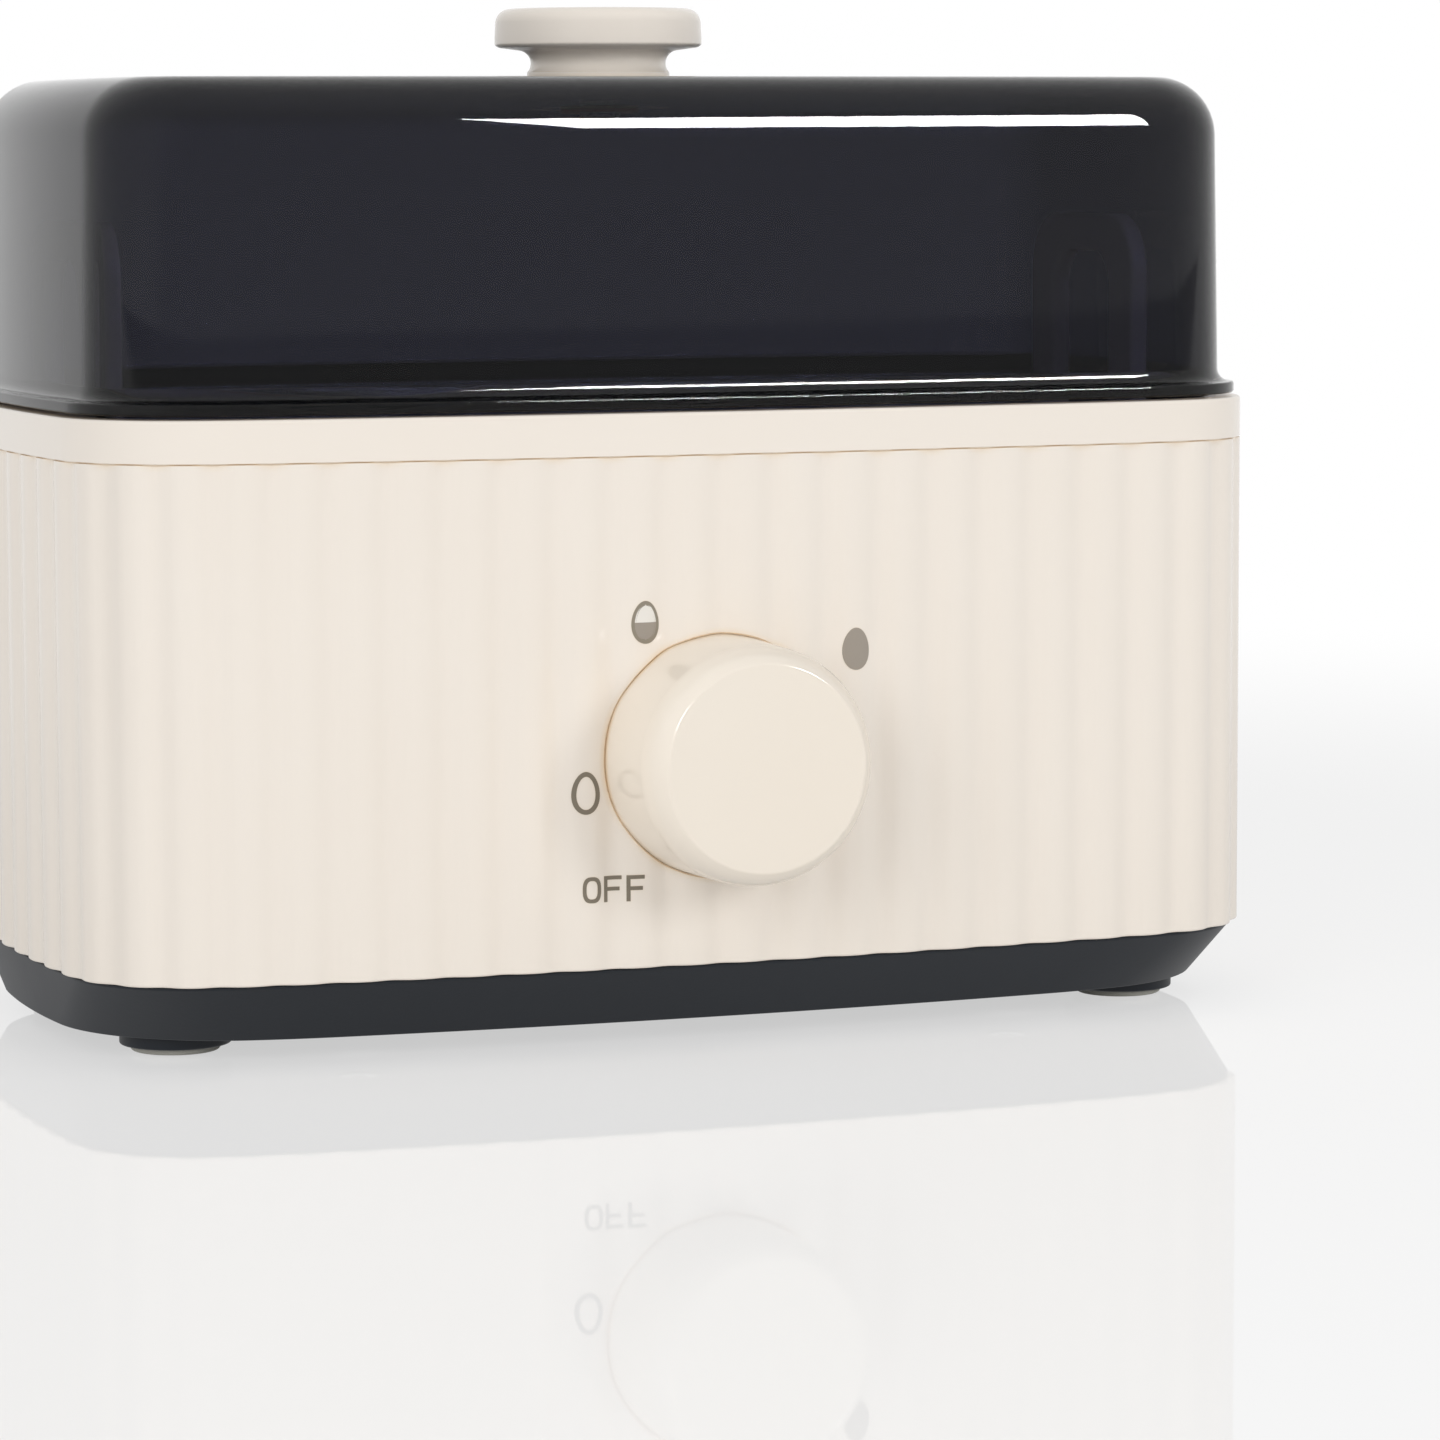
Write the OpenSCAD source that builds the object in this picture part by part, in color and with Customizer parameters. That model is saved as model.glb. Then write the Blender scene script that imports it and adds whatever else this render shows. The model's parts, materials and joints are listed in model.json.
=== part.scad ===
// Electric egg cooker for six eggs: an oblong fluted body on a tapered base, a dial in front,
// a water pan under a lift-out egg tray, and a smoke lid that lifts off.
// The front faces -Y, the table is at Z = 0, and the frame's origin is under the middle of the whole part.

/* [Body] */
// Width of the body over the rim
body_w = 190; // [184:1:220]
// Depth of the body over the rim, front to back
body_d = 108; // [107:1:130]
// Height of the rim's top above the table
body_h = 94; // [92:0.5:110]
// Radius of the body's corners, seen from above
corner_r = 20.6; // [19:0.2:24]
// Radius of the soft shoulders that lead into the corners
shoulder_r = 96; // [70:1:110]
// Turn of the outline where the bowed front ends, in degrees
front_turn = 4.6; // [3.5:0.1:5.5]
// Turn of the outline where a shoulder ends, in degrees
shoulder_turn = 12.5; // [11:0.5:15]
// Turn of the outline where a corner ends, in degrees
corner_turn = 85; // [82:0.5:86]

/* [Wall] */
// Height of the wall's lower edge above the table
wall_z = 12.2; // [11.5:0.1:15]
// Thickness of the wall behind the flutes
wall_t = 2.2; // [1.6:0.1:2.6]
// Spacing of the flutes along the wall
flute_pitch = 8.44; // [6:0.02:12]
// Depth of the flutes
flute_depth = 0.75; // [0.3:0.05:1]
// Open seam between the wall and the rim
seam = 0.25; // [0.1:0.05:0.5]
// Radius of the flat pads behind the dial and the cord gland
wall_pad_r = 10.5; // [9.8:0.1:13]
// Thickness of these pads
wall_pad_t = 3.6; // [3.4:0.1:5]

/* [Rim] */
// Height of the smooth rim above the seam
rim_h = 6.4; // [5.6:0.1:8]
// Width of the rim's top face
rim_land = 5; // [4.4:0.1:5.2]
// Depth of the lid's ledge below the rim's top
lid_seat = 3.5; // [2.5:0.1:4]
// Width of the lid's ledge
lid_ledge_w = 4; // [3.6:0.1:5]
// Depth of the pan's ledge below the rim's top
pan_seat = 8; // [7:0.1:9]
// Thickness of the pan's ledge
ledge_t = 2.5; // [2:0.1:4]
// Clearance of a lip inside the wall
lip_gap = 0.2; // [0.1:0.05:0.4]

/* [Base] */
// Height of the base's underside above the table
base_z = 2.2; // [1.8:0.1:3]
// How far the base's lower edge lies inside the rim
base_inset = 7.8; // [5:0.1:9]
// How far the base's top edge lies inside the rim
base_brow = 0.9; // [0.8:0.1:1.6]
// Rounding of the base's lower edge
base_edge = 1.5; // [0.8:0.1:2]
// Thickness of the base
base_t = 2.2; // [1.6:0.1:3]
// Height of the base's lip inside the wall
lip_h = 4; // [2:0.5:8]
// Thickness of the base's lip
lip_t = 1.6; // [1.2:0.1:2]

/* [Feet] */
// Distance of a foot's centre from the body's side
foot_side = 18.5; // [17:0.5:30]
// Distance of a foot's centre from the body's front or back
foot_front = 27; // [25:0.5:32]
// Radius of the foot's boss on the base
foot_r = 8.3; // [7.6:0.1:9]
// Radius of the soft pad under a foot
pad_r = 6.7; // [5:0.1:7]
// Thickness of the pad
pad_t = 2; // [1.6:0.1:2.4]
// How much of the pad shows below its boss
pad_shown = 1; // [0.6:0.1:1.2]
// Clearance round the pad in its boss
pad_gap = 0.1; // [0.05:0.05:0.2]

/* [Base screws] */
// Gap between a screw post and the pan clamp beside it
post_gap = 8.2; // [6.2:0.2:11.2]
// Distance of a screw post from the body's front or back
post_front = 14.2; // [13.4:0.1:14.6]
// Radius of a screw post
post_r = 3.8; // [3.4:0.1:4]
// Height of the base's screw bosses above the table
boss_z = 12; // [10:0.5:16]
// Radius of a screw's thread
screw_r = 1.5; // [1.2:0.05:1.6]
// Radius of a screw's head
screw_head_r = 3; // [2.6:0.1:3.2]
// Height of a screw's head
screw_head_h = 2.2; // [1.6:0.1:2.6]
// Length of a screw under its head
screw_l = 18; // [14:0.5:24]
// How deep a screw's head lies in the base
screw_sink = 2.4; // [1:0.1:3]
// Clearance of a screw in a hole that it passes
screw_gap = 0.3; // [0.1:0.05:0.5]
// Clearance of a thread in the hole that it holds in
thread_gap = 0.05; // [0.02:0.01:0.1]

/* [Water pan] */
// Margin between the body's outline and the pan's bowl
bowl_margin = 19; // [18.4:0.1:20]
// Radius of the bowl's corners, seen from above
bowl_r = 14; // [10:0.5:18]
// Depth of the bowl below the flange
bowl_depth = 19; // [14:0.5:22]
// Thickness of the pan's sheet
pan_t = 0.8; // [0.5:0.1:1.2]
// Gap between the bowl and the ledge's opening
bowl_gap = 1; // [0.5:0.1:1.4]
// Gap between the pan's flange and the rim
pan_gap = 0.4; // [0.2:0.1:0.8]
// Thickness of the seal under the flange
seal_t = 1; // [0.6:0.1:1.6]
// Distance of the pan's studs from the middle
stud_x = 34; // [31:0.5:38]
// Radius of a stud
stud_r = 2; // [1.5:0.1:2.2]

/* [Heater] */
// Width of the spreader plate
spreader_w = 100; // [96:1:120]
// Depth of the spreader plate
spreader_d = 50; // [46:1:56]
// Thickness of the spreader plate
spreader_t = 2.5; // [1.5:0.1:3]
// Radius of the heating tube
tube_r = 3.3; // [2.5:0.1:3.6]
// Straight length of the heating tube's long runs
tube_run = 90; // [80:1:94]
// Distance between the two long runs
tube_pitch = 36; // [32:1:38]
// How far the heating tube lies to the left of the middle
tube_left = 4.5; // [2:0.5:6]
// Radius of the pins in the tube's ends
pin_r = 1.25; // [0.8:0.05:1.6]
// Length of the pins
pin_l = 8; // [5:0.5:10]
// Clearance between the heating tube and the spreader
tube_gap = 0.1; // [0.05:0.05:0.2]
// Width of the heat shield
shield_w = 124; // [120:1:130]
// Depth of the heat shield
shield_d = 54; // [50:1:55]
// Thickness of the heat shield
shield_t = 0.8; // [0.5:0.1:1.2]
// Air gap between the heating tube and the shield
shield_gap = 4; // [3.5:0.1:6]
// Width of a pan clamp
clamp_w = 12; // [9:0.5:13]
// Thickness of a pan clamp's strip
clamp_t = 1.4; // [1:0.1:2]
// Gap between a clamp's legs and the bowl
clamp_gap = 1.9; // [1.2:0.1:2.2]
// Length of a clamp's feet under the ledge
clamp_foot = 8; // [5:0.5:9]
// Width of a clamp nut across its flats
clamp_nut_w = 7; // [6:0.5:8]
// Height of a clamp nut
clamp_nut_h = 3.2; // [2:0.1:4]

/* [Dial] */
// Height of the dial's centre above the table
dial_z = 43.2; // [41:0.1:46]
// Radius of the dial where it meets the wall
dial_r = 18; // [17:0.1:21]
// Radius of the dial behind its rounded edge
dial_front_r = 17.3; // [16.6:0.1:20]
// Reach of the dial's face in front of the wall
dial_reach = 18.8; // [17:0.1:24]
// Rounding of the dial's edge
dial_edge = 2.3; // [1:0.1:3]
// Gap between the dial and the wall
dial_gap = 0.6; // [0.4:0.1:1.2]
// Wall of the hollow dial
dial_wall = 2; // [1.4:0.1:2.6]
// Radius of the dial's hub
hub_r = 5.6; // [5:0.1:7]
// Distance of the hub's end from the wall
hub_gap = 7.2; // [6.8:0.1:9]
// Radius of the dial's shaft
shaft_r = 3; // [2.5:0.1:3.2]
// Running clearance round the shaft
shaft_gap = 0.06; // [0.03:0.01:0.09]
// Distance from the shaft's axis to its flat
flat_x = 2.1; // [1.8:0.1:2.2]
// Thickness of the spring clip on the flat
clip_t = 0.4; // [0.3:0.05:0.5]
// Width of this spring clip
clip_w = 2.2; // [1.6:0.1:2.6]

/* [Thermostat] */
// Width of the thermostat's case
stat_w = 32; // [26:1:34]
// Depth of the thermostat's case
stat_d = 22; // [18:1:23]
// Height of the thermostat's case
stat_h = 26; // [22:1:26]
// Radius of the threaded bush
bush_r = 5; // [4.6:0.1:5.4]
// Clearance of the bush in the wall
bush_gap = 0.2; // [0.1:0.05:0.4]
// Reach of the bush in front of the wall
bush_reach = 6; // [4.5:0.1:6.4]
// Width of the bush's nut across its flats
bush_nut_w = 14; // [13:0.5:17]
// Height of the bush's nut
bush_nut_h = 3; // [2:0.1:4]
// Length of the thermostat's side tabs
tab_l = 6; // [4:0.5:7]
// Width of these tabs
tab_w = 6.3; // [4.8:0.1:6.4]
// Thickness of these tabs
tab_t = 0.8; // [0.5:0.1:1]
// Distance of these tabs below the dial's axis
tab_drop = 5; // [4:0.5:8]
// Radius of the sensor bulb
bulb_r = 2.2; // [1.6:0.1:2.4]
// Length of the sensor bulb
bulb_l = 40; // [30:1:44]
// Distance of the bulb from the middle line
bulb_y = 8; // [7:0.5:10]
// Length of the bulb's clip
bulb_clip_l = 6; // [4:0.5:10]
// Radius of the capillary tube
capillary_r = 0.8; // [0.6:0.1:1]
// Radius of the thermal fuse
fuse_r = 2; // [1.5:0.1:2.2]
// Length of the thermal fuse
fuse_l = 12; // [8:0.5:14]
// Distance of the fuse from the middle line
fuse_y = 4; // [3.5:0.1:5]
// Length of the fuse's clip
fuse_clip_l = 5; // [3:0.5:7]
// Thickness of the bulb's and fuse's spring clips
spring_t = 0.6; // [0.4:0.1:0.8]
// Clearance inside these clips
spring_gap = 0.1; // [0.05:0.01:0.15]

/* [Cord entry] */
// Height of the cord gland above the table
gland_z = 28; // [24:0.5:40]
// Radius of the gland's barrel
gland_r = 6; // [5.4:0.1:7]
// Radius of the hole for the cord
gland_bore_r = 3.6; // [3:0.1:4.2]
// Radius of the gland's flange
gland_flange_r = 9.5; // [8.6:0.1:11]
// Thickness of the gland's flange
gland_flange_t = 2; // [1.2:0.1:3]
// Length of the gland's barrel
gland_l = 12; // [10:0.5:14]
// Width of the gland's nut across its flats
gland_nut_w = 17; // [16:0.5:19]
// Height of the gland's nut
gland_nut_h = 4; // [2.5:0.1:5]
// Clearance of the gland in the wall
gland_gap = 0.2; // [0.1:0.05:0.4]
// Distance of the cord clamp from the body's back
cord_clamp_in = 22; // [21:0.5:26]
// Distance between the cord clamp's screws
cord_clamp_pitch = 18; // [16:0.5:20]
// Height of the posts that carry the cord clamp
cord_clamp_z = 14; // [11:0.5:15]
// Thickness of the cord clamp
cord_clamp_t = 3; // [2.4:0.1:4]
// Length of the cord clamp's screws
cord_screw_l = 9; // [6:0.5:11]
// Width of the terminal block
block_w = 30; // [28:1:34]
// Depth of the terminal block
block_d = 14; // [12:0.5:16]
// Height of the terminal block
block_h = 12; // [10:0.5:16]
// Distance of the terminal block's centre from the middle, to the right
block_x = 30; // [29:0.5:34]
// Distance of the terminal block's centre from the middle, to the back
block_y = 22; // [18:0.5:24]
// Height of the stand under the terminal block
block_stand = 3; // [2:0.5:5]
// Rounding of the terminal block's corners
block_edge = 1; // [0.5:0.1:2]
// Radius of a terminal screw's head
block_head_r = 2.6; // [2:0.1:3]
// Height of a terminal screw's head
block_head_h = 1.6; // [1:0.1:2]
// Radius of the leads
lead_r = 0.9; // [0.7:0.05:1]
// Gap between a lead's end and its terminal
lead_gap = 0.1; // [0.05:0.05:0.2]

/* [Egg tray] */
// How far the tray's edge lies inside the rim
tray_inset = 9.8; // [9.6:0.1:10.4]
// Height of the tray over the pan's flange
tray_h = 5; // [4:0.1:6]
// Thickness of the tray
tray_t = 1.6; // [1.2:0.1:2]
// Radius of the egg holes
egg_r = 19; // [17:0.1:19.2]
// Distance between eggs along the width
egg_pitch_x = 48; // [44:0.5:50]
// Distance between eggs along the depth
egg_pitch_y = 44.6; // [43:0.1:44.8]
// Thickness of the collar round an egg hole
collar_t = 1.2; // [0.8:0.1:1.4]
// Height of the collar over the tray
collar_up = 0.8; // [0.4:0.1:1.5]
// Depth of the collar below the tray
collar_down = 1.5; // [0.5:0.1:2]
// Width of a tray handle
handle_w = 39; // [36:0.5:44]
// Height of a tray handle over the tray
handle_h = 29; // [26:0.5:30]
// Thickness of a tray handle
handle_t = 3; // [2.6:0.1:3.4]
// Width of the finger gap
finger_w = 21; // [18:0.5:24]
// Height of the finger gap
finger_h = 23; // [18:0.5:24]
// Rounding of the handle's upper corners
handle_r = 9; // [4:0.5:10]
// Rounding of the finger gap's upper corners
finger_r = 6; // [3:0.5:8]
// Distance of a handle from the tray's end
handle_in = 0.8; // [0.6:0.1:3]
// Radius of the pegs that hold a handle
peg_r = 1.2; // [0.8:0.1:1.25]
// Clearance of a peg
peg_gap = 0.1; // [0.05:0.05:0.2]

/* [Lid] */
// Height of the lid's top above the rim
lid_h = 49; // [48:0.5:70]
// Gap that shows between the rim and the lid's flange
lid_reveal = 0.5; // [0.3:0.05:0.8]
// How far the flange's edge lies inside the rim
flange_in = 1; // [0.6:0.1:1.4]
// Reach of the flange beyond the lid's wall
flange_w = 2.5; // [2.2:0.1:3]
// Height of the flange's edge
flange_t = 1.75; // [1.4:0.05:2.2]
// Hollow rounding between the flange and the wall
flange_fillet = 2; // [1:0.1:2.1]
// Thickness of the lid
lid_t = 2.2; // [1.6:0.1:2.4]
// Draft of the lid's wall, in degrees
lid_draft = 1.2; // [0:0.1:2]
// Rounding of the lid's upper edge
lid_edge = 9; // [4:0.5:12]
// Clearance between the lid's skirt and the rim
skirt_gap = 0.4; // [0.3:0.05:0.6]
// Thickness of the lid's skirt
skirt_t = 2; // [1.6:0.1:2.2]
// Radius of the steam vents
vent_r = 2.2; // [1.5:0.1:3]
// Distance of the steam vents from the middle
vent_x = 30; // [24:1:50]

/* [Lid pull] */
// Radius of the pull's crown
pull_r = 16; // [13:0.5:20]
// Radius of the pull's foot
pull_foot_r = 11; // [9:0.5:12]
// Radius of the pull's waist
pull_waist_r = 8.5; // [7:0.1:8.8]
// Height of the pull's waist over the lid
pull_waist_z = 3.9; // [3:0.1:5]
// Height of the pull's foot
pull_foot_h = 1; // [0.6:0.1:2]
// Height of the pull
pull_h = 11; // [10:0.5:16]
// Rounding of the pull's crown
pull_edge = 2.5; // [1.5:0.1:3]
// Thickness of the washer under the lid
washer_t = 1; // [0.6:0.1:1.6]
// Radius of the washer
washer_r = 6; // [4:0.5:8]
// Length of the pull's screw above the lid
pull_screw_l = 7; // [5:0.5:8]

/* [Hidden] */
$fn = 64;

CREAM = "#EEE6D8";
BLACK = "#36383B";
SMOKE = "#2B2E34";
PAD_GREY = "#B4B2A8";
STEEL = "#C9CCCF";
ALUMINIUM = "#B9BCC0";
BRASS = "#C2A25C";
RUBBER = "#8C3B33";
PHENOLIC = "#5B4636";
COPPER = "#B4764A";

// A cut reaches this far past the face that it opens
over = 1;
// Steps in a quarter turn of a rounding
round_steps = 5;
// Points along one flute
flute_steps = 6;

half_w = body_w / 2;
half_d = body_d / 2;

// The front's and the side's bow radii close the quarter outline on the half width and half depth
run_x = half_w - shoulder_r * (sin(shoulder_turn) - sin(front_turn))
    - corner_r * (sin(corner_turn) - sin(shoulder_turn));
run_y = half_d - shoulder_r * (cos(front_turn) - cos(shoulder_turn))
    - corner_r * (cos(shoulder_turn) - cos(corner_turn));
closing = sin(front_turn) * cos(corner_turn) - (1 - sin(corner_turn)) * (1 - cos(front_turn));
front_r = (run_x * cos(corner_turn) - run_y * (1 - sin(corner_turn))) / closing;
side_r = (run_y * sin(front_turn) - run_x * (1 - cos(front_turn))) / closing;

// Turns at which the quarter outline is sampled, without the last one
turns = [
    for (k = [0, 0.5]) front_turn * k,
    for (k = [0, 0.5]) front_turn + (shoulder_turn - front_turn) * k,
    for (k = [0 : 5]) shoulder_turn + (corner_turn - shoulder_turn) * k / 6,
    for (k = [0, 0.5]) corner_turn + (90 - corner_turn) * k
];
back_turns = [for (k = [len(turns) : -1 : 1]) k == len(turns) ? 90 : turns[k]];

function held(t, low, high) = min(max(t, low), high);

// Point of the quarter outline where it has turned by t, moved in by inset
function quarter(t, inset) = [
    front_r * sin(held(t, 0, front_turn))
        + shoulder_r * (sin(held(t, front_turn, shoulder_turn)) - sin(front_turn))
        + corner_r * (sin(held(t, shoulder_turn, corner_turn)) - sin(shoulder_turn))
        + side_r * (sin(held(t, corner_turn, 90)) - sin(corner_turn)) - inset * sin(t),
    half_d - front_r * (1 - cos(held(t, 0, front_turn)))
        - shoulder_r * (cos(front_turn) - cos(held(t, front_turn, shoulder_turn)))
        - corner_r * (cos(shoulder_turn) - cos(held(t, shoulder_turn, corner_turn)))
        - side_r * (cos(corner_turn) - cos(held(t, corner_turn, 90))) - inset * cos(t)
];

function mirrored(p, sx, sy) = [p.x * sx, p.y * sy];

// The body's outline seen from above, moved in by inset
function plan(inset) = [
    for (t = turns) mirrored(quarter(t, inset), 1, -1),
    for (t = back_turns) mirrored(quarter(t, inset), 1, 1),
    for (t = turns) mirrored(quarter(t, inset), -1, 1),
    for (t = back_turns) mirrored(quarter(t, inset), -1, -1)
];

// Lengths along the quarter outline, for even flutes
degree = PI / 180;
front_run = front_r * front_turn * degree;
shoulder_run = front_run + shoulder_r * (shoulder_turn - front_turn) * degree;
corner_run = shoulder_run + corner_r * (corner_turn - shoulder_turn) * degree;
quarter_run = corner_run + side_r * (90 - corner_turn) * degree;
flute_points = flute_steps * round(quarter_run / flute_pitch);

function turn_at(s) =
    s < front_run ? s / front_r / degree
    : s < shoulder_run ? front_turn + (s - front_run) / shoulder_r / degree
    : s < corner_run ? shoulder_turn + (s - shoulder_run) / corner_r / degree
    : corner_turn + (s - corner_run) / side_r / degree;

// Soft reeds with narrower valleys, the first valley in the middle of the front
function flute_point(k) = quarter(
    turn_at(quarter_run * k / flute_points),
    flute_depth * pow(abs(cos(180 * k / flute_steps)), 3)
);

fluted_plan = [
    for (k = [0 : flute_points - 1]) mirrored(flute_point(k), 1, -1),
    for (k = [flute_points : -1 : 1]) mirrored(flute_point(k), 1, 1),
    for (k = [0 : flute_points - 1]) mirrored(flute_point(k), -1, 1),
    for (k = [flute_points : -1 : 1]) mirrored(flute_point(k), -1, -1)
];

// Rectangle with rounded corners, centred
function round_rect(w, d, r) = [
    for (c = [0 : 3], k = [0 : round_steps])
        let (a = 90 * (c + k / round_steps))
        [
            (c == 0 || c == 3 ? 1 : -1) * (w / 2 - r) + r * cos(a),
            (c < 2 ? 1 : -1) * (d / 2 - r) + r * sin(a)
        ]
];

// Upright arch with rounded shoulders, standing on the line y = 0
function arch(w, h, r) = [
    [-w / 2, 0],
    [w / 2, 0],
    each round_off(w / 2 - r, h - r, r, 0, 90),
    each round_off(r - w / 2, h - r, r, 90, 180)
];

// Profile of a quarter round from a to b degrees, as [distance, height] pairs
function round_off(x, z, r, a, b) = [
    for (k = [0 : round_steps])
        let (t = a + (b - a) * k / round_steps)
        [x + r * cos(t), z + r * sin(t)]
];

// Heights, from the table up
seam_z = body_h - rim_h;
lid_seat_z = body_h - lid_seat;
pan_seat_z = body_h - pan_seat;
ledge_under = pan_seat_z - ledge_t;
flange_z = pan_seat_z + seal_t;
tray_z = flange_z + pan_t;
tray_top = tray_z + tray_h;
bowl_z = flange_z - bowl_depth;
spreader_z = bowl_z - spreader_t;
tube_z = spreader_z - tube_gap - tube_r;
shield_z = tube_z - tube_r - shield_gap - shield_t;
clamp_z = shield_z - clamp_t;
floor_z = base_z + base_t;
lid_z = body_h + lid_reveal;
lid_top = body_h + lid_h;

// Distances in from the rim's outline
wall_inner = flute_depth + wall_t;
lip_inset = wall_inner + lip_gap;
lid_wall_in = flange_in + flange_w;
skirt_in = rim_land + skirt_gap;
pan_edge_in = rim_land + lid_ledge_w + pan_gap;
lid_top_in = lid_wall_in + (lid_h - lid_edge - lid_reveal - flange_t) * tan(lid_draft);

bowl_w = body_w - 2 * bowl_margin;
bowl_d = body_d - 2 * bowl_margin;
bowl_plan = round_rect(bowl_w, bowl_d, bowl_r);
bowl_inside = round_rect(bowl_w - 2 * pan_t, bowl_d - 2 * pan_t, bowl_r - pan_t);
bowl_opening = round_rect(bowl_w + 2 * bowl_gap, bowl_d + 2 * bowl_gap, bowl_r + bowl_gap);
foot_x = half_w - foot_side;
foot_y = half_d - foot_front;
post_x = stud_x + clamp_w / 2 + post_gap + post_r;
post_y = half_d - post_front;
cord_clamp_y = half_d - cord_clamp_in;
clamp_leg_y = bowl_d / 2 + clamp_gap;
shaft_in = wall_pad_t + stat_d / 2;
shaft_out = dial_reach - dial_wall - dial_gap;
handle_x = half_w - tray_inset - handle_in - handle_t / 2;
peg_y = (handle_w + finger_w) / 4;
pull_screw_r = screw_r;

// Angles between which the pull's crown is rounded
crown_from = -60;
crown_to = 80;

// The whole part is centred over the origin between the dial's face and the gland's flange
frame_y = (dial_reach - gland_flange_t) / 2;

// Where leads, fuse and bulb meet
fuse_z = spreader_z - fuse_r - spring_t - spring_gap;
bulb_z = spreader_z - bulb_r - spring_t - spring_gap;
fuse_x = -8;
bulb_x = -2;
pin_x = -tube_run / 2 - tube_left;
stat_y = -half_d + wall_pad_t + stat_d / 2;
tab_x = stat_w / 2 + tab_l + lead_gap;
tab_z = dial_z - tab_drop;
block_top = floor_z + block_stand + block_h;
block_front = block_y - block_d / 2 - lead_gap;
block_lead_z = floor_z + block_stand + block_h / 3;
block_pole = block_w / 4;

// Straight length at a lead's end
lead_end = 4;

// Routes of the leads and the capillary tube, points chosen by hand between their terminals
live_route = [
    [-tab_x, stat_y, tab_z], [-26, stat_y, tab_z], [-31, -34, tab_z - 6], [-28, -12, floor_z + 18],
    [-10, 4, floor_z + 10], [10, 8, floor_z + 7], [block_x - block_pole, 9, block_lead_z],
    [block_x - block_pole, block_front, block_lead_z]
];
switched_route = [
    [tab_x, stat_y, tab_z], [25, stat_y, tab_z], [25.5, -35, (tab_z + shield_z) / 2], [23, -31, shield_z],
    [19, -25, shield_z + 3], [12, -16, shield_z + 3], [7, -4, tube_z - 3], [5, 3, tube_z],
    [fuse_x + fuse_l / 2 + lead_end, fuse_y, fuse_z], [fuse_x + fuse_l / 2 + lead_gap, fuse_y, fuse_z]
];
fused_route = [
    [fuse_x - fuse_l / 2 - lead_gap, fuse_y, fuse_z], [fuse_x - fuse_l / 2 - lead_end, fuse_y, fuse_z],
    [-24, 6, tube_z - 1], [-34, 8, tube_z - 2], [-52, 9, tube_z - 3], [-66, 11, tube_z - 3],
    [-70, 16, tube_z - 2], [pin_x - pin_l - lead_end, tube_pitch / 2, tube_z],
    [pin_x - pin_l - lead_gap, tube_pitch / 2, tube_z]
];
neutral_route = [
    [block_x, block_front, block_lead_z], [block_x, 9, block_lead_z], [16, 0, floor_z + 5],
    [-10, -4, floor_z + 5], [-44, -10, floor_z + 12], [-66, -17, (floor_z + tube_z) / 2],
    [-71, -18, tube_z - 8], [pin_x - pin_l - lead_end, -tube_pitch / 2, tube_z],
    [pin_x - pin_l - lead_gap, -tube_pitch / 2, tube_z]
];
earth_route = [
    [block_x + block_pole, block_front, block_lead_z], [block_x + block_pole, 9, block_lead_z],
    [40, -2, floor_z + 12], [36, -9, (floor_z + clamp_z) / 2], [stud_x, -12, clamp_z - 10],
    [stud_x, -12, clamp_z - lead_gap]
];
capillary_route = [
    [-8, stat_y + stat_d / 2 + lead_gap, dial_z], [-8, -22, dial_z], [-20, -16, clamp_z - 8],
    [-46, -12, clamp_z - 6], [-66, -10, clamp_z - 2], [-70, -9, bulb_z - 7], [-62, -bulb_y, bulb_z - 1],
    [-40, -bulb_y, bulb_z], [bulb_x - bulb_l / 2 - lead_gap, -bulb_y, bulb_z]
];

module in_frame() {
    translate([0, frame_y, 0]) children();
}

// Local frame on the front wall at the dial: +Z points out of the wall
module at_dial() {
    translate([0, -half_d, dial_z]) rotate([90, 0, 0]) children();
}

// Local frame on the back wall at the gland: +Z points out of the wall
module at_gland() {
    translate([0, half_d, gland_z]) rotate([-90, 0, 0]) children();
}

// Upright prism on an outline, from z up by h
module slab(points, z, h) {
    translate([0, 0, z]) linear_extrude(h) polygon(points);
}

// Solid through outlines stacked upwards: each ring gives its inset and its height
module loft(rings) {
    n = len(plan(0));
    points = [for (r = rings) for (p = plan(r[0])) [p.x, p.y, r[1]]];
    sides = [
        for (k = [0 : len(rings) - 2], i = [0 : n - 1])
            let (j = (i + 1) % n)
            [k * n + i, (k + 1) * n + i, (k + 1) * n + j, k * n + j]
    ];
    bottom = [for (i = [0 : n - 1]) i];
    top = [for (i = [n - 1 : -1 : 0]) (len(rings) - 1) * n + i];
    polyhedron(points, concat([bottom], sides, [top]));
}

// One copy in each quarter of the plan
module in_corners(x, y) {
    for (sx = [-1, 1], sy = [-1, 1]) translate([sx * x, sy * y, 0]) children();
}

module hex_nut(across, h, bore_r) {
    difference() {
        cylinder(r = across / 2 / cos(30), h = h, $fn = 6);
        translate([0, 0, -over]) cylinder(r = bore_r, h = h + 2 * over);
    }
}

// Screw pointing up: the head's top face lies at z = 0
module screw(r, l, head_r, head_h) {
    difference() {
        union() {
            translate([0, 0, -head_h]) cylinder(r = head_r, h = head_h);
            translate([0, 0, -head_h / 2]) cylinder(r = r, h = l + head_h / 2);
        }
        for (a = [0, 90]) translate([0, 0, -head_h]) rotate([0, 0, a])
            cube([head_r, r / 2, head_h], center = true);
    }
}

function unit(v) = v / norm(v);

function corner_cut(p) = [
    p[0],
    for (i = [0 : len(p) - 2]) each [p[i] * 0.75 + p[i + 1] * 0.25, p[i] * 0.25 + p[i + 1] * 0.75],
    p[len(p) - 1]
];

function heading(p, i) = unit(p[min(i + 1, len(p) - 1)] - p[max(i - 1, 0)]);

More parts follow.
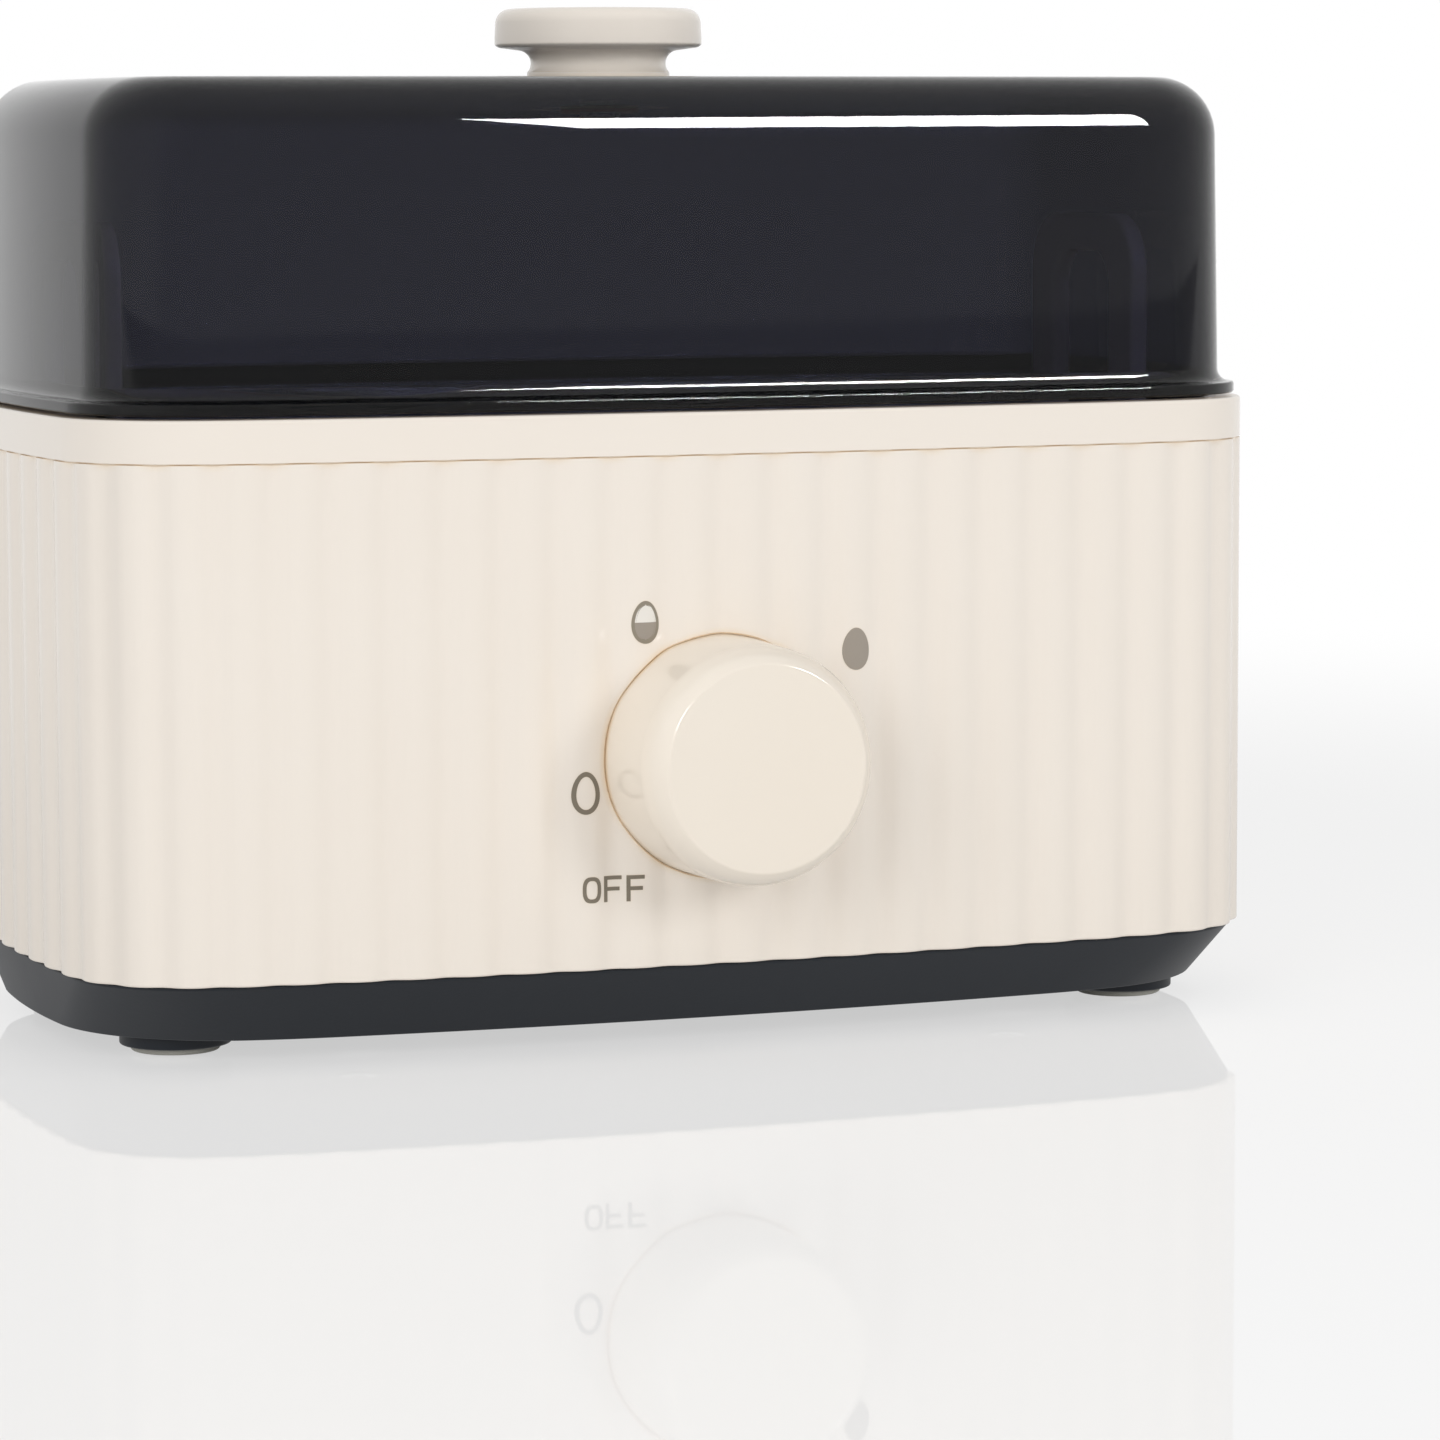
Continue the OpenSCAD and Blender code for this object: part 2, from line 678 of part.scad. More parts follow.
// Side vector of a swept tube, carried along the route without twist
function side_of(p, i) =
    let (t = heading(p, i), v = i == 0 ? cross(t, [0.3, 0.5, 0.8]) : side_of(p, i - 1))
    unit(v - (v * t) * t);

// Round tube along a route with softened corners
module tube_along(route, r, sides = 8) {
    p = corner_cut(route);
    last = len(p) - 1;
    points = [
        for (i = [0 : last])
            let (t = heading(p, i), u = side_of(p, i), w = cross(t, u))
            for (s = [0 : sides - 1]) p[i] + r * (u * cos(360 * s / sides) + w * sin(360 * s / sides))
    ];
    skin = [
        for (i = [0 : last - 1], s = [0 : sides - 1])
            let (e = (s + 1) % sides, a = i * sides, b = (i + 1) * sides)
            each [[a + s, b + s, b + e], [a + s, b + e, a + e]]
    ];
    start = [for (s = [0 : sides - 1]) s];
    end = [for (s = [sides - 1 : -1 : 0]) last * sides + s];
    polyhedron(points, concat([start], skin, [end]));
}

// Spring clip that holds a round piece lying along X under a flat face
module under_clip(r, l, top) {
    clip_r = r + spring_gap;
    wing = clip_r + spring_t;
    difference() {
        union() {
            rotate([0, 90, 0]) cylinder(r = wing, h = l, center = true);
            translate([-l / 2, -2 * wing, top - spring_t]) cube([l, 4 * wing, spring_t]);
        }
        rotate([0, 90, 0]) cylinder(r = clip_r, h = l + 2 * over, center = true);
        translate([-l, -3 * wing, top]) cube([2 * l, 6 * wing, 2 * wing]);
    }
}

module base_pan() {
    in_frame() color(BLACK) difference() {
        union() {
            difference() {
                union() {
                    loft([
                        [base_inset + base_edge, base_z],
                        [base_inset + base_edge * (1 - sin(60)), base_z + base_edge * (1 - cos(60))],
                        [base_inset, base_z + base_edge],
                        [base_brow, wall_z]
                    ]);
                    slab(plan(lip_inset), wall_z - base_t, base_t + lip_h);
                    in_corners(foot_x, foot_y) translate([0, 0, pad_shown])
                        cylinder(r = foot_r, h = floor_z - pad_shown);
                }
                loft([
                    [base_inset + base_edge + base_t, floor_z],
                    [lip_inset + lip_t, wall_z - over],
                    [lip_inset + lip_t, wall_z + lip_h + over]
                ]);
            }
            in_corners(post_x, post_y) translate([0, 0, base_z + over])
                cylinder(r = post_r, h = boss_z - base_z - over);
            for (s = [-1, 1]) translate([s * cord_clamp_pitch / 2, cord_clamp_y, base_z + over])
                cylinder(r = post_r, h = cord_clamp_z - base_z - over);
            translate([block_x - block_w / 2, block_y - block_d / 2, base_z + over])
                cube([block_w, block_d, floor_z + block_stand - base_z - over]);
        }
        in_corners(foot_x, foot_y) cylinder(r = pad_r + pad_gap, h = pad_t);
        in_corners(post_x, post_y) {
            cylinder(r = screw_r + screw_gap, h = boss_z + over);
            cylinder(r = screw_head_r + screw_gap, h = base_z + screw_sink);
        }
        for (s = [-1, 1]) translate([s * cord_clamp_pitch / 2, cord_clamp_y, floor_z])
            cylinder(r = screw_r + thread_gap, h = cord_clamp_z);
    }
}

module foot_pads() {
    in_frame() color(PAD_GREY) in_corners(foot_x, foot_y) cylinder(r = pad_r, h = pad_t);
}

module body_shell() {
    in_frame() color(CREAM) difference() {
        union() {
            difference() {
                slab(fluted_plan, wall_z, seam_z - wall_z);
                slab(plan(wall_inner), wall_z - over, seam_z - wall_z + 2 * over);
            }
            at_dial() translate([0, 0, -wall_pad_t]) cylinder(r = wall_pad_r, h = wall_pad_t);
            at_gland() translate([0, 0, -wall_pad_t]) cylinder(r = wall_pad_r, h = wall_pad_t);
        }
        at_dial() translate([0, 0, -wall_pad_t - over])
            cylinder(r = bush_r + bush_gap, h = wall_pad_t + 2 * over);
        at_gland() translate([0, 0, -wall_pad_t - over])
            cylinder(r = gland_r + gland_gap, h = wall_pad_t + 2 * over);
    }
}

module rim_ring() {
    in_frame() color(CREAM) difference() {
        union() {
            slab(plan(0), seam_z + seam, rim_h - seam);
            slab(plan(lip_inset), ledge_under, seam_z + seam + over - ledge_under);
            in_corners(post_x, post_y) translate([0, 0, boss_z])
                cylinder(r = post_r, h = ledge_under + over - boss_z);
        }
        slab(bowl_opening, ledge_under - over, rim_h + pan_seat);
        slab(plan(rim_land + lid_ledge_w), pan_seat_z, pan_seat + over);
        slab(plan(rim_land), lid_seat_z, lid_seat + over);
        in_corners(post_x, post_y) translate([0, 0, boss_z - over])
            cylinder(r = screw_r + thread_gap, h = screw_l);
    }
}

module base_screws() {
    in_frame() color(STEEL) in_corners(post_x, post_y) translate([0, 0, base_z + screw_sink])
        screw(screw_r, screw_l, screw_head_r, screw_head_h);
}

module heating_pan() {
    in_frame() color(STEEL) {
        difference() {
            union() {
                slab(plan(pan_edge_in), flange_z, pan_t);
                slab(bowl_plan, bowl_z, bowl_depth + pan_t);
            }
            slab(bowl_inside, bowl_z + pan_t, bowl_depth + over);
        }
        for (s = [-1, 1]) translate([s * stud_x, 0, clamp_z - clamp_nut_h - over])
            cylinder(r = stud_r, h = bowl_z + pan_t / 2 - clamp_z + clamp_nut_h + over);
    }
}

module pan_seal() {
    in_frame() color(RUBBER) difference() {
        slab(plan(pan_edge_in), pan_seat_z, seal_t);
        slab(bowl_opening, pan_seat_z - over, seal_t + 2 * over);
    }
}

module heat_spreader() {
    in_frame() color(ALUMINIUM) difference() {
        slab(round_rect(spreader_w, spreader_d, bowl_r), spreader_z, spreader_t);
        for (s = [-1, 1]) translate([s * stud_x, 0, spreader_z - over])
            cylinder(r = stud_r + screw_gap, h = spreader_t + 2 * over);
    }
}

// A hairpin of tube under the spreader, closed on the right
module heating_element() {
    in_frame() color("#4A4C4E") translate([-tube_left, 0, tube_z]) {
        for (s = [-1, 1]) translate([0, s * tube_pitch / 2, 0]) rotate([0, 90, 0])
            cylinder(r = tube_r, h = tube_run, center = true);
        translate([tube_run / 2, 0, 0]) rotate([0, 0, -90]) rotate_extrude(angle = 180)
            translate([tube_pitch / 2, 0]) circle(r = tube_r);
    }
}

module element_pins() {
    in_frame() color(STEEL) for (s = [-1, 1]) translate([pin_x, s * tube_pitch / 2, tube_z]) rotate([0, -90, 0])
        cylinder(r = pin_r, h = pin_l);
}

module heat_shield() {
    in_frame() color(ALUMINIUM) difference() {
        slab(round_rect(shield_w, shield_d, bowl_r), shield_z, shield_t);
        for (s = [-1, 1]) translate([s * stud_x, 0, shield_z - over])
            cylinder(r = stud_r + screw_gap, h = shield_t + 2 * over);
    }
}

// Steel strips bent like a hat: the feet bear up on the ledge and the nuts draw the pan down
module pan_clamps() {
    leg_h = ledge_under - clamp_z;
    in_frame() color(STEEL) for (s = [-1, 1]) translate([s * stud_x, 0, 0]) difference() {
        union() {
            translate([-clamp_w / 2, -clamp_leg_y - clamp_t, clamp_z])
                cube([clamp_w, 2 * (clamp_leg_y + clamp_t), clamp_t]);
            for (e = [-1, 1]) {
                translate([-clamp_w / 2, e * (clamp_leg_y + clamp_t / 2) - clamp_t / 2, clamp_z])
                    cube([clamp_w, clamp_t, leg_h]);
                translate([0, e * (clamp_leg_y + clamp_foot / 2), ledge_under - clamp_t / 2])
                    cube([clamp_w, clamp_foot, clamp_t], center = true);
            }
        }
        translate([0, 0, clamp_z - over]) cylinder(r = stud_r + screw_gap, h = clamp_t + 2 * over);
    }
}

module clamp_nuts() {
    in_frame() color(BRASS) for (s = [-1, 1]) translate([s * stud_x, 0, clamp_z - clamp_nut_h])
        hex_nut(clamp_nut_w, clamp_nut_h, stud_r + thread_gap);
}

module thermostat() {
    in_frame() color(PHENOLIC) at_dial() difference() {
        union() {
            translate([-stat_w / 2, -stat_h / 2, -wall_pad_t - stat_d]) cube([stat_w, stat_h, stat_d]);
            for (s = [-1, 1]) translate([s * (stat_w + tab_l) / 2, -tab_drop, -wall_pad_t - stat_d / 2])
                cube([tab_l, tab_w, tab_t], center = true);
        }
        translate([0, 0, -shaft_in - over]) cylinder(r = shaft_r + screw_gap, h = shaft_in + over);
    }
}

module thermostat_bush() {
    in_frame() color(BRASS) at_dial() difference() {
        translate([0, 0, -wall_pad_t]) cylinder(r = bush_r, h = wall_pad_t + bush_reach);
        translate([0, 0, -wall_pad_t - over])
            cylinder(r = shaft_r + shaft_gap, h = wall_pad_t + bush_reach + 2 * over);
    }
}

module bush_nut() {
    in_frame() color(BRASS) at_dial() hex_nut(bush_nut_w, bush_nut_h, bush_r + thread_gap);
}

module sensor_bulb() {
    in_frame() color(COPPER) translate([bulb_x, -bulb_y, bulb_z]) rotate([0, 90, 0])
        cylinder(r = bulb_r, h = bulb_l, center = true);
}

module bulb_clip() {
    in_frame() color(STEEL) translate([bulb_x + bulb_l / 4, -bulb_y, bulb_z])
        under_clip(bulb_r, bulb_clip_l, spreader_z - bulb_z);
}

module capillary_tube() {
    in_frame() color(COPPER) tube_along(capillary_route, capillary_r);
}

module thermal_fuse() {
    in_frame() color("#D8D2C4") translate([fuse_x, fuse_y, fuse_z]) rotate([0, 90, 0])
        cylinder(r = fuse_r, h = fuse_l, center = true);
}

module fuse_clip() {
    in_frame() color(STEEL) translate([fuse_x, fuse_y, fuse_z])
        under_clip(fuse_r, fuse_clip_l, spreader_z - fuse_z);
}

module cord_gland() {
    in_frame() color(BLACK) at_gland() difference() {
        union() {
            cylinder(r = gland_flange_r, h = gland_flange_t);
            translate([0, 0, -gland_l]) cylinder(r = gland_r, h = gland_l + gland_flange_t / 2);
        }
        translate([0, 0, -gland_l - over])
            cylinder(r = gland_bore_r, h = gland_l + gland_flange_t + 2 * over);
    }
}

module gland_nut() {
    in_frame() color(BLACK) at_gland() translate([0, 0, -wall_pad_t - gland_nut_h])
        hex_nut(gland_nut_w, gland_nut_h, gland_r + thread_gap);
}

module cord_clamp() {
    bar_w = cord_clamp_pitch + 2 * post_r;
    in_frame() color("#E8E6E0") translate([0, cord_clamp_y, cord_clamp_z]) difference() {
        slab(round_rect(bar_w, 2 * post_r, post_r / 2), 0, cord_clamp_t);
        for (s = [-1, 1]) translate([s * cord_clamp_pitch / 2, 0, -over])
            cylinder(r = screw_r + screw_gap, h = cord_clamp_t + 2 * over);
        translate([0, 0, -gland_bore_r * 0.6]) rotate([90, 0, 0])
            cylinder(r = gland_bore_r, h = 4 * post_r, center = true);
    }
}

module cord_clamp_screws() {
    in_frame() color(STEEL) for (s = [-1, 1])
        translate([s * cord_clamp_pitch / 2, cord_clamp_y, cord_clamp_z + cord_clamp_t]) mirror([0, 0, 1])
            screw(screw_r, cord_screw_l, screw_head_r, screw_head_h);
}

module terminal_block() {
    in_frame() color("#E8E6E0") translate([block_x, block_y, floor_z + block_stand]) difference() {
        slab(round_rect(block_w, block_d, block_edge), 0, block_h);
        for (k = [-1 : 1]) translate([k * block_pole, 0, block_h / 2])
            cylinder(r = screw_r + thread_gap, h = block_h);
    }
}

module terminal_screws() {
    in_frame() color(BRASS) for (k = [-1 : 1]) translate([block_x + k * block_pole, block_y, block_top])
        mirror([0, 0, 1]) screw(screw_r, block_h / 2 - over, block_head_r, block_head_h);
}

module lead_live() {
    in_frame() color("#7A4A2C") tube_along(live_route, lead_r);
}

module lead_switched() {
    in_frame() color("#D9D5CC") tube_along(switched_route, lead_r);
}

module lead_fused() {
    in_frame() color("#D9D5CC") tube_along(fused_route, lead_r);
}

module lead_neutral() {
    in_frame() color("#3F6FA8") tube_along(neutral_route, lead_r);
}

module lead_earth() {
    in_frame() color("#7FA63C") tube_along(earth_route, lead_r);
}

// Hollow dial on a hub: a slight taper, a rounded edge and a flat face
module dial_knob() {
    face_r = dial_front_r - dial_edge;
    edge_z = dial_reach - dial_edge;
    cavity_z = dial_reach - dial_wall;
    in_frame() color(CREAM) at_dial() difference() {
        rotate_extrude() polygon(concat(
            [[0, dial_gap], [dial_r, dial_gap]],
            round_off(face_r, edge_z, dial_edge, 0, 90),
            [[0, dial_reach]]
        ));
        rotate_extrude() polygon([
            [0, 0], [dial_r - dial_wall, 0], [dial_front_r - dial_wall, cavity_z],
            [hub_r, cavity_z], [hub_r, hub_gap], [0, hub_gap]
        ]);
        difference() {
            cylinder(r = shaft_r + shaft_gap, h = shaft_out + lead_gap);
            translate([flat_x + clip_t + 2 * shaft_gap, -dial_r, 0]) cube(2 * dial_r);
        }
    }
}

module dial_shaft() {
    in_frame() color(STEEL) at_dial() difference() {
        translate([0, 0, -shaft_in]) cylinder(r = shaft_r, h = shaft_in + shaft_out);
        translate([flat_x, -dial_r, hub_gap]) cube(2 * dial_r);
    }
}

module knob_clip() {
    in_frame() color(STEEL) at_dial() translate([flat_x + shaft_gap, -clip_w / 2, hub_gap + over])
        cube([clip_t, clip_w, shaft_out - hub_gap - 2 * over]);
}

module egg_tray() {
    in_frame() color(CREAM) difference() {
        union() {
            difference() {
                slab(plan(tray_inset), tray_z, tray_h);
                slab(plan(tray_inset + tray_t), tray_z - over, tray_h - tray_t + over);
            }
            at_eggs() translate([0, 0, tray_top - tray_t - collar_down])
                cylinder(r = egg_r + collar_t, h = collar_down + tray_t + collar_up);
        }
        at_eggs() translate([0, 0, tray_z - over]) cylinder(r = egg_r, h = 3 * tray_h);
        in_corners(handle_x, peg_y) translate([0, 0, tray_z]) cylinder(r = peg_r + peg_gap, h = 2 * tray_h);
    }
}

module at_eggs() {
    for (i = [-1 : 1], j = [-1, 1]) translate([i * egg_pitch_x, j * egg_pitch_y / 2, 0]) children();
}

// Arch across the tray's end, with two pegs through the tray
module tray_handle(side) {
    in_frame() color(CREAM) translate([side * handle_x, 0, tray_top]) {
        translate([-handle_t / 2, 0, 0]) rotate([90, 0, 90]) linear_extrude(handle_t) difference() {
            polygon(arch(handle_w, handle_h, handle_r));
            translate([0, -over]) polygon(arch(finger_w, finger_h + over, finger_r));
        }
        for (e = [-1, 1]) translate([0, e * peg_y, -tray_t]) cylinder(r = peg_r, h = tray_t + over);
    }
}

module tray_handle_left() {
    tray_handle(-1);
}

module tray_handle_right() {
    tray_handle(1);
}

// Smoke cover: a skirt inside the rim, a flange with a hollow rounding, a drafted wall and a rounded edge
module lid_shell() {
    fillet_in = lid_wall_in - flange_fillet;
    fillet_z = lid_z + flange_t + flange_fillet;
    edge_z = lid_top - lid_edge;
    inner_edge = lid_edge - lid_t;
    in_frame() color(SMOKE, 0.8) difference() {
        loft(concat(
            [[skirt_in, lid_seat_z], [skirt_in, lid_z], [flange_in, lid_z], [flange_in, lid_z + flange_t]],
            round_off(fillet_in, fillet_z, flange_fillet, -90, 0),
            round_off(lid_top_in + lid_edge, edge_z, lid_edge, 180, 90)
        ));
        loft(concat(
            [[skirt_in + skirt_t, lid_seat_z - over], [skirt_in + skirt_t, lid_z]],
            [[lid_wall_in + lid_t, fillet_z]],
            round_off(lid_top_in + lid_edge, edge_z, inner_edge, 180, 90)
        ));
        for (s = [-1, 1]) translate([s * vent_x, 0, edge_z]) cylinder(r = vent_r, h = 2 * lid_edge);
        translate([0, 0, edge_z]) cylinder(r = pull_screw_r + screw_gap, h = 2 * lid_edge);
    }
}

// Round pull with a waist for the fingertips
module lid_pull() {
    in_frame() color(CREAM) translate([0, 0, lid_top]) difference() {
        rotate_extrude() polygon(concat(
            [[0, 0], [pull_foot_r, 0], [pull_foot_r, pull_foot_h], [pull_waist_r, pull_waist_z]],
            round_off(pull_r - pull_edge, pull_h - pull_edge, pull_edge, crown_from, crown_to),
            [[0, pull_h]]
        ));
        translate([0, 0, -over]) cylinder(r = pull_screw_r + thread_gap, h = pull_screw_l + 2 * over);
    }
}

module lid_pull_screw() {
    in_frame() color(STEEL) translate([0, 0, lid_top - lid_t - washer_t])
        screw(pull_screw_r, washer_t + lid_t + pull_screw_l, screw_head_r, screw_head_h);
}

module lid_pull_washer() {
    in_frame() color(RUBBER) translate([0, 0, lid_top - lid_t - washer_t]) difference() {
        cylinder(r = washer_r, h = washer_t);
        translate([0, 0, -over]) cylinder(r = pull_screw_r + screw_gap, h = washer_t + 2 * over);
    }
}

base_pan();
foot_pads();
body_shell();
rim_ring();
base_screws();
heating_pan();
pan_seal();
heat_spreader();
heating_element();
element_pins();
heat_shield();
pan_clamps();
clamp_nuts();
thermostat();
thermostat_bush();
bush_nut();
sensor_bulb();
bulb_clip();
capillary_tube();
thermal_fuse();
fuse_clip();
cord_gland();
gland_nut();
cord_clamp();
cord_clamp_screws();
terminal_block();
terminal_screws();
lead_live();
lead_switched();
lead_fused();
lead_neutral();
lead_earth();
dial_knob();
dial_shaft();
knob_clip();
egg_tray();
tray_handle_left();
tray_handle_right();
lid_shell();
lid_pull();
lid_pull_screw();
lid_pull_washer();
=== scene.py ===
"""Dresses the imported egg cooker: shells over its CAD frame, marks, finishes and a white studio."""
import json
from math import cos, pi, radians, sin

import bmesh
import bpy
import numpy as np
from bpy.props import FloatProperty, FloatVectorProperty, PointerProperty
from mathutils import Euler, Matrix, Vector
from mathutils.geometry import delaunay_2d_cdt


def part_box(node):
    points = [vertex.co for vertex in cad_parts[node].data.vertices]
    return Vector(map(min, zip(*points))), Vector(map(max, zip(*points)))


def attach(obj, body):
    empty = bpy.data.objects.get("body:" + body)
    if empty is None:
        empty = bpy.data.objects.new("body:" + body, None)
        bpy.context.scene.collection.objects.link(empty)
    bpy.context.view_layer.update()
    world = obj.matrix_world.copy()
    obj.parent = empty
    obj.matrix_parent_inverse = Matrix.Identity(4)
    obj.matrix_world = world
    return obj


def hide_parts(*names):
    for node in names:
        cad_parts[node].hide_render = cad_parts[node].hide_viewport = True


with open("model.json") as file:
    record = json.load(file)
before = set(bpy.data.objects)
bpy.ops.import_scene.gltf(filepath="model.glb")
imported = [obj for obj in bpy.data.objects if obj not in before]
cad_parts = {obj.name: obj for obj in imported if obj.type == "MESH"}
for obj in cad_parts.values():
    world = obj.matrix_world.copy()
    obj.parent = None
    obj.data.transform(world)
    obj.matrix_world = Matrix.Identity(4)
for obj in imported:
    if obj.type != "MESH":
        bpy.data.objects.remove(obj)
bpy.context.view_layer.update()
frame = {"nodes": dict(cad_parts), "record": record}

bl_info = {
    "name": "Egg cooker looks",
    "version": (1, 0, 0),
    "blender": (4, 5, 0),
    "location": "3D View > Sidebar > Egg cooker",
    "description": "Builds an egg cooker's visible shells, marks and finishes round its CAD frame",
    "category": "Object",
}

MM = 0.001
QUARTER_STEPS = 96      # columns in a quarter of the body's outline
ROUND_STEPS = 96        # columns round a turned piece
FLUTE_STEPS = 12        # columns across one flute
WALL_ROWS = 40          # rows up the fluted wall
EDGE_ROWS = 4           # rows in the wall's rounded edges
DIAL_RINGS = 28         # rings of the wall between its grid and the dial's well
GLAND_RINGS = 10        # rings of the wall between its grid and the gland's pad
INNER_RINGS = 6         # rings of the wall's inner face round a bore
ARC_STEPS = 6           # rows in one rounded edge
HOLD = 0.05 * MM        # flat strip kept beside each rounded edge, so that shading stays flat there
MERGE = 0.001 * MM      # points closer than this are one point
CLEAR = 0.1 * MM        # gap between a piece and the hole that holds it
FINE = 0.2 * MM         # radius of a crisp edge
SOFT = 0.4 * MM         # radius of a soft edge
SHARP = radians(38)     # edges that turn more than this stay crisp
SCREW_HEAD = 3 * MM     # radius of a base screw's head
SCREW_BORE = 1.55 * MM  # radius of the holes that screws are driven into
FOOT_RADIUS = 6.7 * MM  # radius of a foot pad


def linear(hex_colour):
    """sRGB hex to linear RGB: c/12.92 up to 0.04045, else ((c+0.055)/1.055)^2.4."""
    srgb = np.array([int(hex_colour[i:i + 2], 16) for i in (1, 3, 5)]) / 255
    return tuple(np.where(srgb <= 0.04045, srgb / 12.92, ((srgb + 0.055) / 1.055) ** 2.4).tolist())


def length(name, description, millimetres):
    """A length property with its default in millimetres."""
    return FloatProperty(name=name, description=description, default=millimetres * MM,
                         unit="LENGTH", precision=5)


def angle(name, description, degrees):
    """An angle property with its default in degrees."""
    return FloatProperty(name=name, description=description, default=radians(degrees),
                         subtype="ANGLE")


def level(name, description, default):
    """A light level or share, without a unit."""
    return FloatProperty(name=name, description=description, default=default, min=0)


def colour(name, description, hex_colour):
    """A colour property with its default as an sRGB hex value."""
    return FloatVectorProperty(name=name, description=description, default=linear(hex_colour),
                               subtype="COLOR", size=3, min=0, max=1)


class EggCookerBody(bpy.types.PropertyGroup):
    """Shape of the housing that the frame's boxes don't give."""
    corner_radius: length("Corner radius", "Radius of the body's corners seen from above", 20.6)
    shoulder_radius: length("Shoulder radius", "Radius between the bowed front and a corner", 96)
    front_turn: angle("Front turn", "Turn of the outline where the bowed front ends", 4.6)
    shoulder_turn: angle("Shoulder turn", "Turn of the outline where the shoulder ends", 12.5)
    corner_turn: angle("Corner turn", "Turn of the outline where the corner ends", 85)
    flute_pitch: length("Flute pitch", "Distance between two flutes of the wall", 8.44)
    flute_depth: length("Flute depth", "Depth of a flute's valley", 0.75)
    wall_inside: length("Wall inside", "Inset of the wall's inner face", 2.95)
    wall_edge: length("Wall edge", "Radius of the wall's lower edge", 0.35)
    seam_edge: length("Seam edge", "Radius of the edges along the seam and the dial's well", 0.1)
    pad_radius: length("Flat pad radius", "Radius of the pads behind the dial and the gland", 10.5)
    pad_depth: length("Flat pad depth", "Thickness of those pads", 3.6)
    well_gap: length("Well gap", "Gap round the dial in its well", 0.03)
    groove_width: length("Groove width", "Width of the groove round the dial's well", 0.13)
    groove_depth: length("Groove depth", "Depth of the groove round the dial's well", 0.24)
    well_depth: length("Well depth", "Depth of the well that the dial turns in", 1.35)
    rim_gap: length("Rim gap", "Seam between the wall and the rim", 0.16)
    seam_depth: length("Seam depth", "Depth of the seam between the wall and the rim", 0.45)
    rim_round: length("Rim round", "Radius of the rim's upper outer edge", 0.45)
    rim_seat: length("Rim seat", "Inset of the rim's inner edge, where the lid drops in", 5)
    rim_step: length("Rim step", "Inset of the rim's lower step, where the pan drops in", 9)
    rim_ledge: length("Rim ledge", "Thickness of the rim's lower step", 2.5)
    lip_inset: length("Lip inset", "Inset of the lips that locate rim and base in the wall", 3.15)
    lip_wall: length("Lip wall", "Thickness of the base's lip", 1.6)
    post_radius: length("Post radius", "Radius of the rim's screw posts", 3.6)
    brow_inset: length("Base brow", "Inset of the base just under the wall", 0.9)
    base_inset: length("Base inset", "Inset of the base's lower edge at the front and back", 8)
    base_side: length("Base side inset", "Inset of the base's lower edge at the sides", 2.8)
    base_corner: length("Base corner", "Corner radius of the base's lower edge from above", 28)
    base_lift: length("Base lift", "Height of the base's lower edge over the foot pads' top", 1)
    base_wall: length("Base wall", "Thickness of the base's floor", 2.2)
    base_edge: length("Base edge", "Radius of the base's lower edge", 0.4)
    boss_wall: length("Foot boss wall", "Width of the ring round each foot pad", 1.5)
    bowl_x: length("Bowl half width", "Half the water bowl's width", 76)
    bowl_y: length("Bowl half depth", "Half the water bowl's depth", 35)
    bowl_round: length("Bowl corner", "Corner radius of the water bowl", 14)
    bowl_fillet: length("Bowl fillet", "Radius between the bowl's wall and floor", 4)
    pan_sheet: length("Pan sheet", "Thickness of the water pan's sheet", 0.8)
    gland_barrel: length("Gland barrel", "Radius of the gland's barrel", 6)
    gland_bore: length("Gland bore", "Radius of the cord hole", 3.6)


